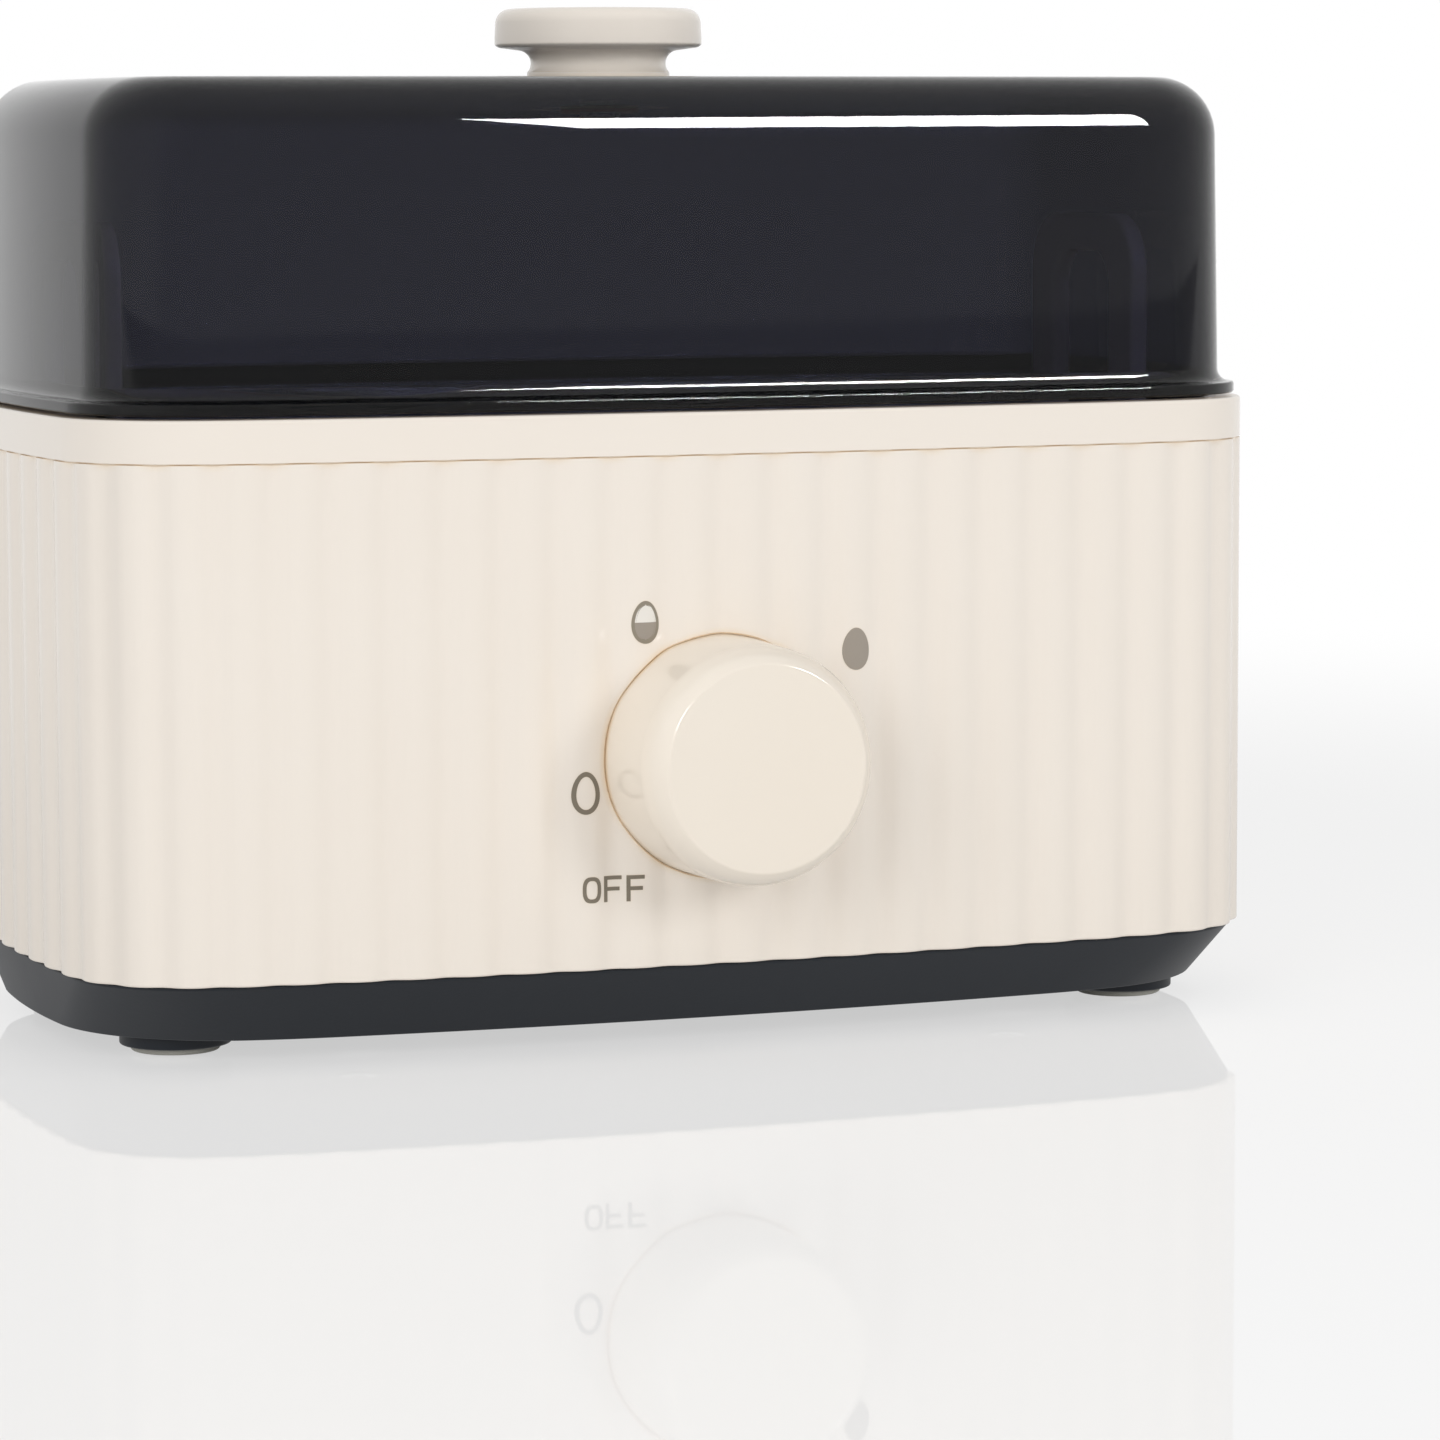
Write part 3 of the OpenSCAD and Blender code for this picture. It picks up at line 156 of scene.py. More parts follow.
class EggCookerMoving(bpy.types.PropertyGroup):
    """Shape of the dial, the tray and the lid that the frame's boxes don't give."""
    dial_shoulder: length("Dial shoulder", "Radius at the shoulder behind the dial's face", 17.6)
    dial_face: length("Dial face", "Radius of the dial's flat face", 15.25)
    dial_slope: length("Dial slope", "Distance from the shoulder to the face", 2.35)
    dial_round: length("Dial round", "Radius of the shoulder", 7)
    dial_edge: length("Dial edge", "Radius of the edge round the face", 0.6)
    dial_wall: length("Dial wall", "Thickness of the dial's shell", 2)
    dial_sunk: length("Dial sunk", "How far the dial reaches into its well", 1.2)
    hub_radius: length("Hub radius", "Radius of the dial's hub", 5.6)
    lid_flange: length("Lid flange", "Inset of the lid's flange", 1)
    lid_flange_height: length("Lid flange height", "Thickness of the lid's flange", 1.75)
    lid_inset: length("Lid wall inset", "Inset of the lid's wall at its foot", 3.5)
    lid_fillet: length("Lid fillet", "Radius between the flange and the lid's wall", 2)
    lid_wall: length("Lid wall", "Thickness of the lid", 2.2)
    lid_draft: angle("Lid draft", "Lean of the lid's wall", 1.25)
    lid_edge: length("Lid edge", "Radius of the lid's upper edge", 9)
    skirt_inset: length("Skirt inset", "Inset of the skirt that drops into the rim", 5.4)
    skirt_wall: length("Skirt wall", "Thickness of that skirt", 2)
    skirt_height: length("Skirt height", "Height of that skirt", 4)
    vent_radius: length("Vent radius", "Radius of the lid's steam vents", 2.2)
    vent_place: length("Vent place", "Distance of the vents from the lid's middle", 30)
    pull_foot: length("Pull foot", "Radius of the pull's foot", 11)
    pull_waist: length("Pull waist", "Radius of the pull's waist", 8.5)
    pull_edge: length("Pull edge", "Radius of the pull's outer edge", 2.5)
    tray_wall: length("Tray wall", "Thickness of the tray", 1.6)
    tray_skirt: length("Tray skirt", "Thickness of the tray's skirt", 1.2)
    tray_edge: length("Tray edge", "Radius of the tray's upper edge", 0.8)
    egg_radius: length("Egg hole radius", "Radius of the tray's egg holes", 19)
    egg_pitch_x: length("Egg pitch along", "Distance between eggs along the tray", 48)
    egg_pitch_y: length("Egg pitch across", "Distance between eggs across the tray", 44.6)
    collar_wall: length("Collar wall", "Thickness of the collar round an egg hole", 1.2)
    collar_rise: length("Collar rise", "Height of a collar over the tray", 0.8)
    collar_drop: length("Collar drop", "Depth of a collar under the tray's plate", 1.5)
    handle_round: length("Handle corner", "Outer corner radius of the tray's handles", 9)
    handle_edge: length("Handle edge", "Edge radius of the tray's handles", 0.8)
    finger_width: length("Finger gap width", "Width of the handles' finger gap", 21)
    finger_height: length("Finger gap height", "Height of the handles' finger gap", 23)
    finger_round: length("Finger corner", "Corner radius of the finger gap", 6)


class EggCookerMarks(bpy.types.PropertyGroup):
    """Marks printed beside the dial: each is placed by its angle round the dial from 3 o'clock and
    its distance from the dial's middle."""
    egg_height: length("Egg height", "Height of an egg mark", 6.3)
    egg_width: length("Egg width", "Width of an egg mark", 4.35)
    stroke: length("Stroke", "Width of an egg's outline", 0.7)
    letter_height: length("Letter height", "Height of the OFF mark", 3.85)
    letter_width: length("Letter width", "Width of a letter", 2.9)
    letter_pitch: length("Letter pitch", "Distance from one letter to the next", 3.42)
    letter_stroke: length("Letter stroke", "Width of the letters' lines", 0.56)
    off_angle: angle("OFF angle", "Place of the OFF mark", 228.2)
    off_distance: length("OFF distance", "Distance of the OFF mark", 25.5)
    soft_angle: angle("Soft egg angle", "Place of the outlined egg", 192.4)
    soft_distance: length("Soft egg distance", "Distance of the outlined egg", 21.7)
    medium_angle: angle("Medium egg angle", "Place of the half-filled egg", 120.5)
    medium_distance: length("Medium egg distance", "Distance of the half-filled egg", 23.4)
    hard_angle: angle("Hard egg angle", "Place of the filled egg", 35.2)
    hard_distance: length("Hard egg distance", "Distance of the filled egg", 26.2)
    film: length("Ink film", "Thickness of the printed ink", 0.06)


class EggCookerColours(bpy.types.PropertyGroup):
    """Colours of the finishes."""
    cream: colour("Cream", "Body, rim, tray and pull", "#F0E8DE")
    cream_cloud: colour("Cream cloud", "The faint cloud in the cream plastic", "#EEE5DA")
    # painted shade: the warm brown that is painted into the cream's narrow gaps and seams, where
    # shade falls
    painted_gap_shade: colour("Glow", "The cream plastic in its narrow gaps", "#ECD3AE")
    warm: colour("Warm cream", "The dial", "#EFE6D9")
    warm_cloud: colour("Warm cream cloud", "The faint cloud in the dial", "#EDE3D5")
    black: colour("Black", "Base and gland", "#161B22")
    black_cloud: colour("Black cloud", "The uneven sheen of the black plastic", "#1A1F26")
    smoke: colour("Smoke", "Tint of the lid", "#575866")
    ink: colour("Ink", "Outlines and letters of the marks", "#7E7566")
    ink_thin: colour("Thin ink", "Outline of the half-filled egg", "#8F8677")
    ink_fill: colour("Ink fill", "Filled egg marks", "#9E958A")
    ink_white: colour("Ink white", "White half of the half-filled egg", "#EBE7E0")
    pad: colour("Pads", "Soft feet", "#BFBDB4")


class EggCookerStudio(bpy.types.PropertyGroup):
    """Camera and light."""
    camera_place: FloatVectorProperty(
        name="Camera place", description="Where the camera stands", subtype="XYZ", unit="LENGTH",
        default=(-0.2853, -0.8106, 0.1342))
    camera_yaw: angle("Camera yaw", "Heading, to the right of straight on", 20.43)
    camera_pitch: angle("Camera pitch", "Tilt of the camera, downwards", 5.99)
    camera_roll: angle("Camera roll", "Roll of the camera", -0.18)
    lens: FloatProperty(name="Lens", description="Focal length on a 36 mm sensor", default=139.2,
                        unit="CAMERA")
    ambient: level("Ambient", "Light from all round", 0.55)
    top: level("Top", "Power of the softbox overhead", 0.6)
    fill: level("Fill", "Power of the softbox on the right", 4.5)
    side: level("Side", "Power of the softbox on the left", 6.0)
    lid_panel: level("Lid panel", "Power of the right panel that only the lid mirrors", 80)
    dial_panel: level("Dial panel", "Power of the right panel that only the dial mirrors", 7)
    streak_panel: level("Streak panel", "Power of the left panel that only the dial mirrors", 11)
    dial_card: level("Dial card", "Power of the left card that lights the dial alone", 2.4)
    room: level("Room", "Brightness of the room behind the camera as gloss shows it", 0.8)
    floor_gloss: level("Floor gloss", "Share of mirror reflection in the floor", 0.21)
    floor_shade: level("Floor shade", "Share of the floor's light that shadows take away", 0.3)
    floor_lift: level("Floor lift", "Share of the floor's brightness that shadows leave", 0.56)


def box(node):
    """A node's lowest and highest corner as arrays."""
    low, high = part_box(node)
    return np.array(low), np.array(high)


def middle_of(node):
    """The middle of a node's box."""
    return sum(box(node)) / 2


def half_of(node):
    """Half the sizes of a node's box."""
    low, high = box(node)
    return (high - low) / 2


class Plan:
    """The body's outline seen from above, the same in all four quarters: a bowed front, a shoulder,
    a corner and a bowed side, each an arc that starts at the heading where the last one ends."""

    def __init__(self, body, trim=(0, 0, 0), corner_radius=None):
        """The body's outline, or one that is trimmed at the sides and front and has its own corner
        radius. The front's and side's radii follow, as the arcs add up to the half sizes."""
        half = half_of("rim_ring") - np.array(trim)
        corner_radius = corner_radius or body.corner_radius
        self.middle = middle_of("rim_ring")
        self.half_depth = half[1]
        turns = np.array([0, body.front_turn, body.shoulder_turn, body.corner_turn, pi / 2])
        s, c = np.sin(turns), np.cos(turns)
        run_x = half[0] - body.shoulder_radius * (s[2] - s[1]) - corner_radius * (s[3] - s[2])
        run_y = half[1] - body.shoulder_radius * (c[1] - c[2]) - corner_radius * (c[2] - c[3])
        closing = s[1] * c[3] - (1 - s[3]) * (1 - c[1])
        front = (run_x * c[3] - run_y * (1 - s[3])) / closing
        side = (run_y * s[1] - run_x * (1 - c[1])) / closing
        self.turns = turns
        self.radii = np.array([front, body.shoulder_radius, corner_radius, side])
        self.lengths = np.concatenate([[0], np.cumsum(self.radii * np.diff(turns))])
        self.flutes = round(self.lengths[-1] / body.flute_pitch)
        self.flute_depth = body.flute_depth

    def point(self, turn, inset):
        """x is the sum over the arcs of radius times the change in sine, y the half depth less the
        same sum in cosine, both moved inwards along the normal by the inset."""
        turn, inset = np.broadcast_arrays(turn, inset)
        held = np.clip(turn[..., None], self.turns[:-1], self.turns[1:])
        x = (self.radii * (np.sin(held) - np.sin(self.turns[:-1]))).sum(-1) - inset * np.sin(turn)
        y = (self.radii * (np.cos(self.turns[:-1]) - np.cos(held))).sum(-1)
        return x, self.half_depth - y - inset * np.cos(turn)

    def loop(self, steps):
        """Distance from the nearest front or back middle, and signs of x and y, at even steps
        counter-clockwise."""
        out = self.lengths[-1] * np.arange(steps) / steps
        back = self.lengths[-1] * np.arange(steps, 0, -1) / steps
        return (np.concatenate([out, back, out, back]), np.repeat([1, 1, -1, -1], steps),
                np.repeat([-1, 1, 1, -1], steps))

    def carry(self, insets, heights, steps=QUARTER_STEPS):
        """A profile of insets and heights carried round the outline: one column per step."""
        run, sign_x, sign_y = self.loop(steps)
        turn = np.interp(run, self.lengths, self.turns)
        x, y = self.point(turn[:, None], insets)
        z = np.broadcast_to(heights, x.shape)
        return np.stack([sign_x[:, None] * x, self.middle[1] + sign_y[:, None] * y, z], -1)

    def flute(self, run):
        """Inset of the fluted wall: depth times |cos|^3 of the distance along it, one valley per
        flute."""
        return self.flute_depth * np.abs(np.cos(pi * run * self.flutes / self.lengths[-1])) ** 3

    def front(self, run, z, inset):
        """Points on the bowed front at a distance along it from its middle and a height, moved in
        by the inset."""
        across, out = self.point(np.abs(run) / self.radii[0], inset)
        return np.stack([np.sign(run) * across, self.middle[1] - out, z], -1)


def unit(vectors):
    """Each vector divided by its length."""
    return vectors / np.maximum(np.linalg.norm(vectors, axis=-1, keepdims=True), 1e-12)


def rounded(corners, closed=False, steps=ARC_STEPS):
    """A profile from (a, b, radius) corners. Each corner is cut back along both sides by radius /
    tan(half its angle) and bridged by an arc, with a point HOLD beside each end of the arc."""
    corners = np.asarray(corners, float)
    here, radius = corners[:, :2], corners[:, 2:]
    to_last, to_next = unit(np.roll(here, 1, 0) - here), unit(np.roll(here, -1, 0) - here)
    half = np.arccos(np.clip((to_last * to_next).sum(1, keepdims=True), -1, 1)) / 2
    half = np.clip(half, 1e-3, pi / 2 - 1e-6)
    cut = radius / np.tan(half)
    centre = here + unit(to_last + to_next) * radius / np.sin(half)
    start, end = here + to_last * cut, here + to_next * cut
    turn = (pi - 2 * half)[:, None]
    share = np.linspace(0, 1, steps + 1)[None, :, None]
    arc = centre[:, None] + (np.sin((1 - share) * turn) * (start - centre)[:, None]
                             + np.sin(share * turn) * (end - centre)[:, None]) / np.sin(turn)
    arc = np.concatenate([(start + to_last * HOLD)[:, None], arc,
                          (end + to_next * HOLD)[:, None]], 1)
    if not closed:
        arc = np.concatenate([here[:1, None].repeat(arc.shape[1], 1), arc[1:-1],
                              here[-1:, None].repeat(arc.shape[1], 1)])
    flat = arc.reshape(-1, 2)
    apart = np.linalg.norm(flat - np.roll(flat, 1, 0), axis=1) > MERGE
    apart[0] |= not closed
    return flat[apart]


# where a turned piece's own x, y and axis point
UPWARDS = np.eye(3)
FRONTWARDS = np.array([[1, 0, 0], [0, 0, 1], [0, -1, 0]])
BACKWARDS = np.array([[-1, 0, 0], [0, 0, 1], [0, 1, 0]])


def circle(steps):
    """Angles at even steps round a circle, one per row."""
    return 2 * pi * np.arange(steps)[:, None] / steps


def turned(profile, centre, facing=UPWARDS, steps=ROUND_STEPS):
    """A profile of radius and height turned round an axis: (r cos a, r sin a, h), faced and moved
    to its place."""
    radius, height = np.asarray(profile, float).T
    turn = circle(steps)
    local = np.stack([np.cos(turn) * radius, np.sin(turn) * radius,
                      np.broadcast_to(height, (steps, len(height)))], -1)
    return local @ facing + np.asarray(centre, float)


def round_box(half_x, half_y, radius, profile, centre, steps=12):
    """A profile of insets and heights carried round a rectangle with rounded corners,
    counter-clockwise."""
    insets, heights = np.asarray(profile, float).T
    turn = (np.arange(4)[:, None] * pi / 2 + np.linspace(-pi / 2, 0, steps + 1)).reshape(-1, 1)
    corner_x = np.repeat([1, 1, -1, -1], steps + 1)[:, None] * (half_x - radius)
    corner_y = np.repeat([-1, 1, 1, -1], steps + 1)[:, None] * (half_y - radius)
    x = centre[0] + corner_x + np.cos(turn) * (radius - insets)
    y = centre[1] + corner_y + np.sin(turn) * (radius - insets)
    return np.stack([x, y, np.broadcast_to(heights, x.shape)], -1)


class Skin:
    """Gathers grids and flat plates into one closed mesh."""

    def __init__(self):
        self.points, self.faces, self.count = [], [], 0

    def add(self, points, faces):
        """Adds points, and faces that count from the first of them."""
        self.points.append(np.asarray(points, float).reshape(-1, 3))
        self.faces += (np.asarray(faces) + self.count).tolist()
        self.count += len(self.points[-1])

    def grid(self, points, closed=False):
        """Quads between neighbours of an (n, m) grid that wraps along n, and along m if closed. A
        profile that runs upwards on its outside gives faces that point outwards."""
        n, m = points.shape[:2]
        i = np.arange(n)[:, None]
        j = np.arange(m if closed else m - 1)[None, :]
        over, up = (i + 1) % n, (j + 1) % m
        quads = np.stack([i * m + j, over * m + j, over * m + up, i * m + up], -1)
        self.add(points, quads.reshape(-1, 4))
        return points

    def slab(self, outer, inner, kept=slice(None), wraps=True):
        """Two grids of one size, joined along the ends of their columns, and along their first and
        last columns if they don't wrap. Cells that aren't kept are left out of both."""
        n, m = outer.shape[:2]
        at = np.arange(n * m).reshape(n, m)
        here, over = (at, np.roll(at, -1, 0)) if wraps else (at[:-1], at[1:])
        cells = np.stack([here[:, :-1], over[:, :-1], over[:, 1:], here[:, 1:]], -1)
        cells = cells[kept].reshape(-1, 4)
        edges = [(here[:, 0], over[:, 0]), (over[:, -1], here[:, -1])]
        if not wraps:
            edges += [(at[-1, :-1], at[-1, 1:]), (at[0, 1:], at[0, :-1])]
        faces = [cells, cells[:, ::-1] + n * m]
        faces += [np.stack([end, start, start + n * m, end + n * m], -1) for start, end in edges]
        self.add(np.concatenate([outer, inner]), np.concatenate(faces))

    def sweep(self, plan, profile):
        """The grid of a profile of insets and heights carried round the plan's outline."""
        return self.grid(plan.carry(profile[:, 0], profile[:, 1]))

    def turn(self, profile, places, steps=ROUND_STEPS, closed=False):
        """The grids of a profile turned round an upright axis at each place."""
        return [self.grid(turned(profile, (x, y, 0), steps=steps), closed) for x, y in places]

    def plate(self, rings, upwards=True):
        """A flat face bounded by its first ring, with the other rings as holes, in triangles: those
        of the rings' triangulation whose middle is inside an odd number of rings."""
        flat = np.concatenate(rings)
        ends = np.concatenate([np.roll(ring, -1, 0) for ring in rings])
        starts = np.cumsum([0] + [len(ring) for ring in rings])
        counts = [np.arange(len(ring)) for ring in rings]
        edges = [np.stack([count, np.roll(count, -1)], -1) + start
                 for count, start in zip(counts, starts)]
        found = delaunay_2d_cdt([Vector(p) for p in flat[:, :2]], np.concatenate(edges).tolist(),
                                [], 0, 1e-9)
        spots = np.array([tuple(p) for p in found[0]])
        triangles = np.array(found[2])
        x, y = spots[triangles].mean(1).T[..., None]
        spans = (flat[:, 1] > y) != (ends[:, 1] > y)
        rise = np.where(ends[:, 1] == flat[:, 1], 1, ends[:, 1] - flat[:, 1])
        crossed = spans & (x < flat[:, 0] + (ends[:, 0] - flat[:, 0]) * (y - flat[:, 1]) / rise)
        triangles = triangles[crossed.sum(1) % 2 == 1]
        a, b, c = (spots[triangles[:, k]] for k in range(3))
        turn = (b - a)[:, 0] * (c - a)[:, 1] - (b - a)[:, 1] * (c - a)[:, 0]
        flip = (turn > 0) != upwards
        triangles[flip] = triangles[flip][:, ::-1]
        self.add(np.column_stack([spots, np.full(len(spots), flat[0, 2])]), triangles)

    def close(self, sweep, above, below):
        """Plates over a sweep's last ring and under its first one, open where the grids above start
        and the grids below end."""
        self.plate([sweep[:, -1]] + [hole[:, 0] for hole in above])
        self.plate([sweep[:, 0]] + [hole[:, -1] for hole in below], upwards=False)

    def piece(self, name, finish, body, slot, *replaced):
        """Puts the gathered surfaces into one object with merged seams, on its body. Its slot is not
        used.
        """
        mesh = bpy.data.meshes.new(name)
        mesh.from_pydata(np.concatenate(self.points).tolist(), [], self.faces)
        work = bmesh.new()
        work.from_mesh(mesh)
        bmesh.ops.remove_doubles(work, verts=work.verts, dist=MERGE)
        bmesh.ops.delete(work, geom=[edge for edge in work.edges if edge.is_wire], context="EDGES")
        open_edges = sum(not edge.is_manifold for edge in work.edges)
        if open_edges:
            raise RuntimeError(f"{name} has {open_edges} open edges")
        work.to_mesh(mesh)
        work.free()
        mesh.shade_smooth()
        mesh.set_sharp_from_angle(angle=SHARP)
        mesh.materials.append(finish)
        made = bpy.data.objects.new(name, mesh)
        bpy.context.scene.collection.objects.link(made)
        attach(made, body)
        if replaced:
            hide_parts(*replaced)


def node(tree, kind, sockets=None, **settings):
    """Adds a shader node with its settings and its input sockets. Each socket takes a value, or is
    linked to an output or to another node's first output."""
    made = tree.nodes.new("ShaderNode" + kind)
    for key, value in settings.items():
        setattr(made, key, value)
    for key, value in (sockets or {}).items():
        if isinstance(value, bpy.types.Node):
            value = value.outputs[0]
        if isinstance(value, bpy.types.NodeSocket):
            tree.links.new(value, made.inputs[key])
        else:
            made.inputs[key].default_value = value
    return made


def surface(name, build):
    """The material of that name, built once: build gets its empty node tree and returns the
    output's sockets."""
    if name in bpy.data.materials:
        return bpy.data.materials[name]
    made = bpy.data.materials.new(name)
    made.use_nodes = True
    made.node_tree.nodes.clear()
    node(made.node_tree, "OutputMaterial", build(made.node_tree))
    return made


def rgba(rgb):
    """A colour with full alpha."""
    return (*rgb, 1.0)


def moulded(name, plain, cloud, roughness, grain_mm, depth_mm, ior=1.5, painted_gap_shade=None):
    """A moulded plastic: a faint cloud in its colour and gloss, and the tool's texture as bump.
    Where a gap colour is given, narrow gaps that ambient occlusion finds get it painted in as warm
    shade, not grey."""
    cloud_size, painted_shade_reach, spread = 25 * MM, 1.2 * MM, 0.12

    def build(tree):
        where = node(tree, "TexCoord").outputs["Object"]
        drift = node(tree, "TexNoise", {"Vector": where, "Scale": 1 / cloud_size, "Detail": 3})
        tint = node(tree, "Mix", {0: drift, 6: rgba(plain), 7: rgba(cloud)}, data_type="RGBA")
        gloss = node(tree, "MapRange", {"Value": drift, "To Min": roughness * (1 - spread),
                                        "To Max": roughness * (1 + spread)})
        grain = node(tree, "TexNoise",
                     {"Vector": where, "Scale": 1 / (grain_mm * MM), "Detail": 2})
        bump = node(tree, "Bump", {"Height": grain, "Strength": 1, "Distance": depth_mm * MM})
        # painted shade: near other faces the colour turns towards a warm brown, by ambient occlusion
        if painted_gap_shade:
            gap = node(tree, "AmbientOcclusion", {"Distance": painted_shade_reach}, samples=4)
            tint = node(tree, "Mix", {0: gap.outputs["AO"], 6: rgba(painted_gap_shade), 7: tint.outputs[2]},
                        data_type="RGBA")
        return {"Surface": node(tree, "BsdfPrincipled",
                                {"Base Color": tint.outputs[2], "Roughness": gloss, "IOR": ior,
                                 "Normal": bump})}
    return surface(name, build)


def metal(name, hex_colour, roughness, line_mm, stretch, depth_mm):
    """A metal with fine lines along x from its brushing, drawing or turning, in its gloss and as
    bump."""
    spread = 0.3

    def build(tree):
        where = node(tree, "TexCoord").outputs["Object"]
        drawn = node(tree, "Mapping", {"Vector": where, "Scale": (1 / stretch, 1, 1)})
        lines = node(tree, "TexNoise",
                     {"Vector": drawn, "Scale": 1 / (line_mm * MM), "Detail": 4})
        gloss = node(tree, "MapRange", {"Value": lines, "To Min": roughness * (1 - spread),
                                        "To Max": roughness * (1 + spread)})
        bump = node(tree, "Bump", {"Height": lines, "Strength": 1, "Distance": depth_mm * MM})
        return {"Surface": node(tree, "BsdfPrincipled",
                                {"Base Color": rgba(linear(hex_colour)), "Metallic": 1.0,
                                 "Roughness": gloss, "Normal": bump})}
    return surface(name, build)


def cream_abs():
    """Moulded ABS from a polished tool: even cream, a soft gloss, and an orange peel of 3 mm that
    only highlights show."""
    tint = bpy.context.scene.egg_cooker_colours
    # its narrow gaps and seams get painted warm shade
    return moulded("moulded cream ABS", tint.cream, tint.cream_cloud, roughness=0.2, grain_mm=3,
                   depth_mm=0.002, ior=1.52, painted_gap_shade=tint.painted_gap_shade)


def warm_abs():
    """The same ABS from the dial's own batch: a shade warmer, and glossier because its tool is
    small and polished."""
    tint = bpy.context.scene.egg_cooker_colours
    # its narrow gaps, such as round the dial's well, get painted warm shade
    return moulded("moulded warm cream ABS", tint.warm, tint.warm_cloud, roughness=0.15, grain_mm=3,
                   depth_mm=0.001, ior=1.52, painted_gap_shade=tint.painted_gap_shade)


def black_pp():
    """Moulded polypropylene from an eroded tool: satin black. Its grain of 0.1 mm is drawn at 0.5
    mm to show."""
    tint = bpy.context.scene.egg_cooker_colours
    return moulded("moulded black PP", tint.black, tint.black_cloud, roughness=0.45, grain_mm=0.5,
                   depth_mm=0.012, ior=1.4)


def grey_rubber():
    """Moulded rubber: light grey and matt, with a grain of 0.4 mm."""
    pad, darker = bpy.context.scene.egg_cooker_colours.pad, 0.92
    return moulded("moulded grey rubber", pad, [c * darker for c in pad], roughness=0.75,
                   grain_mm=0.4, depth_mm=0.02)


def pad_ink(name, tint):
    """Pad-printed ink: duller than the plastic, its coverage uneven over 0.3 mm."""
    darker = 0.96
    return moulded(name, tint, [c * darker for c in tint], roughness=0.5, grain_mm=0.3,
                   depth_mm=0.002)


def smoke_san():
    """Injection-moulded SAN with a smoke tint: polished, see-through and dark, darkest where light
    runs along its wall, with a faint flow in its gloss. What is left of light after one wall is
    e^(-density (1 - colour) wall). Shadow rays pass it, so that the inside is lit."""
    tint = np.array(bpy.context.scene.egg_cooker_colours.smoke)
    taken = -np.log(tint) / bpy.context.scene.egg_cooker_moving.lid_wall
    flow_size, flow_depth = 30 * MM, 0.008 * MM

    def build(tree):
        where = node(tree, "TexCoord").outputs["Object"]
        flow = node(tree, "TexNoise", {"Vector": where, "Scale": 1 / flow_size, "Detail": 1})
        gloss = node(tree, "MapRange", {"Value": flow, "To Min": 0.01, "To Max": 0.03})
        bump = node(tree, "Bump", {"Height": flow, "Strength": 1, "Distance": flow_depth})
        shader = node(tree, "BsdfPrincipled",
                      {"Base Color": (1, 1, 1, 1), "Roughness": gloss, "IOR": 1.35,
                       "Transmission Weight": 1.0, "Normal": bump})
        passing = node(tree, "BsdfTransparent", {"Color": (1, 1, 1, 1)})
        shadow = node(tree, "LightPath").outputs["Is Shadow Ray"]
        inside = node(tree, "VolumeAbsorption",
                      {"Color": rgba((1 - taken / taken.max()).tolist()), "Density": taken.max()})
        return {"Surface": node(tree, "MixShader", {0: shadow, 1: shader, 2: passing}),
                "Volume": inside}
    return surface("moulded smoke SAN", build)


# metals by slot: name, colour, roughness, width of the lines in mm, their stretch and depth in mm
METALS = {
    # pressed and brushed sheet: bright, with lines that stretch its reflections
    "stainless_steel": ("brushed stainless steel", "#C9CACB", 0.28, 0.3, 40, 0.003),
    # mill-finish sheet: dull silver with long rolling lines
    "aluminium": ("mill-finish aluminium", "#C4C6C8", 0.4, 0.5, 25, 0.004),
    # oxidised steel tube: dark and nearly matt
    "element_sheath": ("oxidised steel sheath", "#5A5754", 0.55, 0.4, 4, 0.01),
    # turned brass: warm yellow with tool marks
    "brass": ("turned brass", "#C9A85C", 0.3, 0.2, 6, 0.004),
    # drawn copper: reddish with long die lines
    "copper": ("drawn copper", "#B8774E", 0.33, 0.3, 20, 0.003),
}
# plastics and the like inside, by slot: name, colour, cloud, roughness, grain and its depth in mm
PLASTICS = {
    # filled moulding compound: brown, matt, speckled
    "phenolic": ("moulded phenolic", "#5C4434", "#4E392C", 0.55, 0.6, 0.02),
    # fired steatite: off-white, dry, finely pitted
    "ceramic": ("fired steatite", "#D9D1C4", "#CFC6B8", 0.7, 0.5, 0.03),
    # moulded nylon: milky white, satin
    "nylon": ("moulded nylon", "#E8E6E0", "#E2DFD6", 0.42, 0.8, 0.006),
    # cast silicone rubber: brick red, matt
    "silicone": ("cast silicone", "#8C3B33", "#84362F", 0.6, 0.6, 0.01),
    # extruded insulation, smooth, and a woven glass sleeve, dry and rough
    "lead_brown": ("brown insulation", "#7A4A2B", "#744526", 0.5, 0.8, 0.006),
    "lead_white": ("glass-fibre sleeve", "#D8D6CC", "#CCC9BE", 0.8, 0.5, 0.04),
    "lead_blue": ("blue insulation", "#4070A8", "#3C6AA0", 0.5, 0.8, 0.006),
    "lead_green": ("green insulation", "#80A63D", "#7A9F38", 0.5, 0.8, 0.006),
}


def wall_bores():
    """Where the dial's bush and the cord gland pass the wall: place on the crest plane, facing and
    clear radius."""
    low, high = box("body_shell")
    barrel = bpy.context.scene.egg_cooker_body.gland_barrel
    return [(np.array([0, low[1], middle_of("thermostat_bush")[2]]), FRONTWARDS,
             half_of("thermostat_bush")[0] + 2 * CLEAR),
            (np.array([0, high[1], middle_of("cord_gland")[2]]), BACKWARDS, barrel + 2 * CLEAR)]


def corners_of(node, inset):
    """The four corners of a node's box seen from above, moved in by the inset."""
    low, high = box(node)
    return [(x, y) for x in (low[0] + inset, high[0] - inset)
            for y in (low[1] + inset, high[1] - inset)]


def base_floor(body):
    """Height of the base's floor inside: a wall above the heads of the screws."""
    return box("base_screws")[0][2] - 2 * CLEAR + body.base_wall


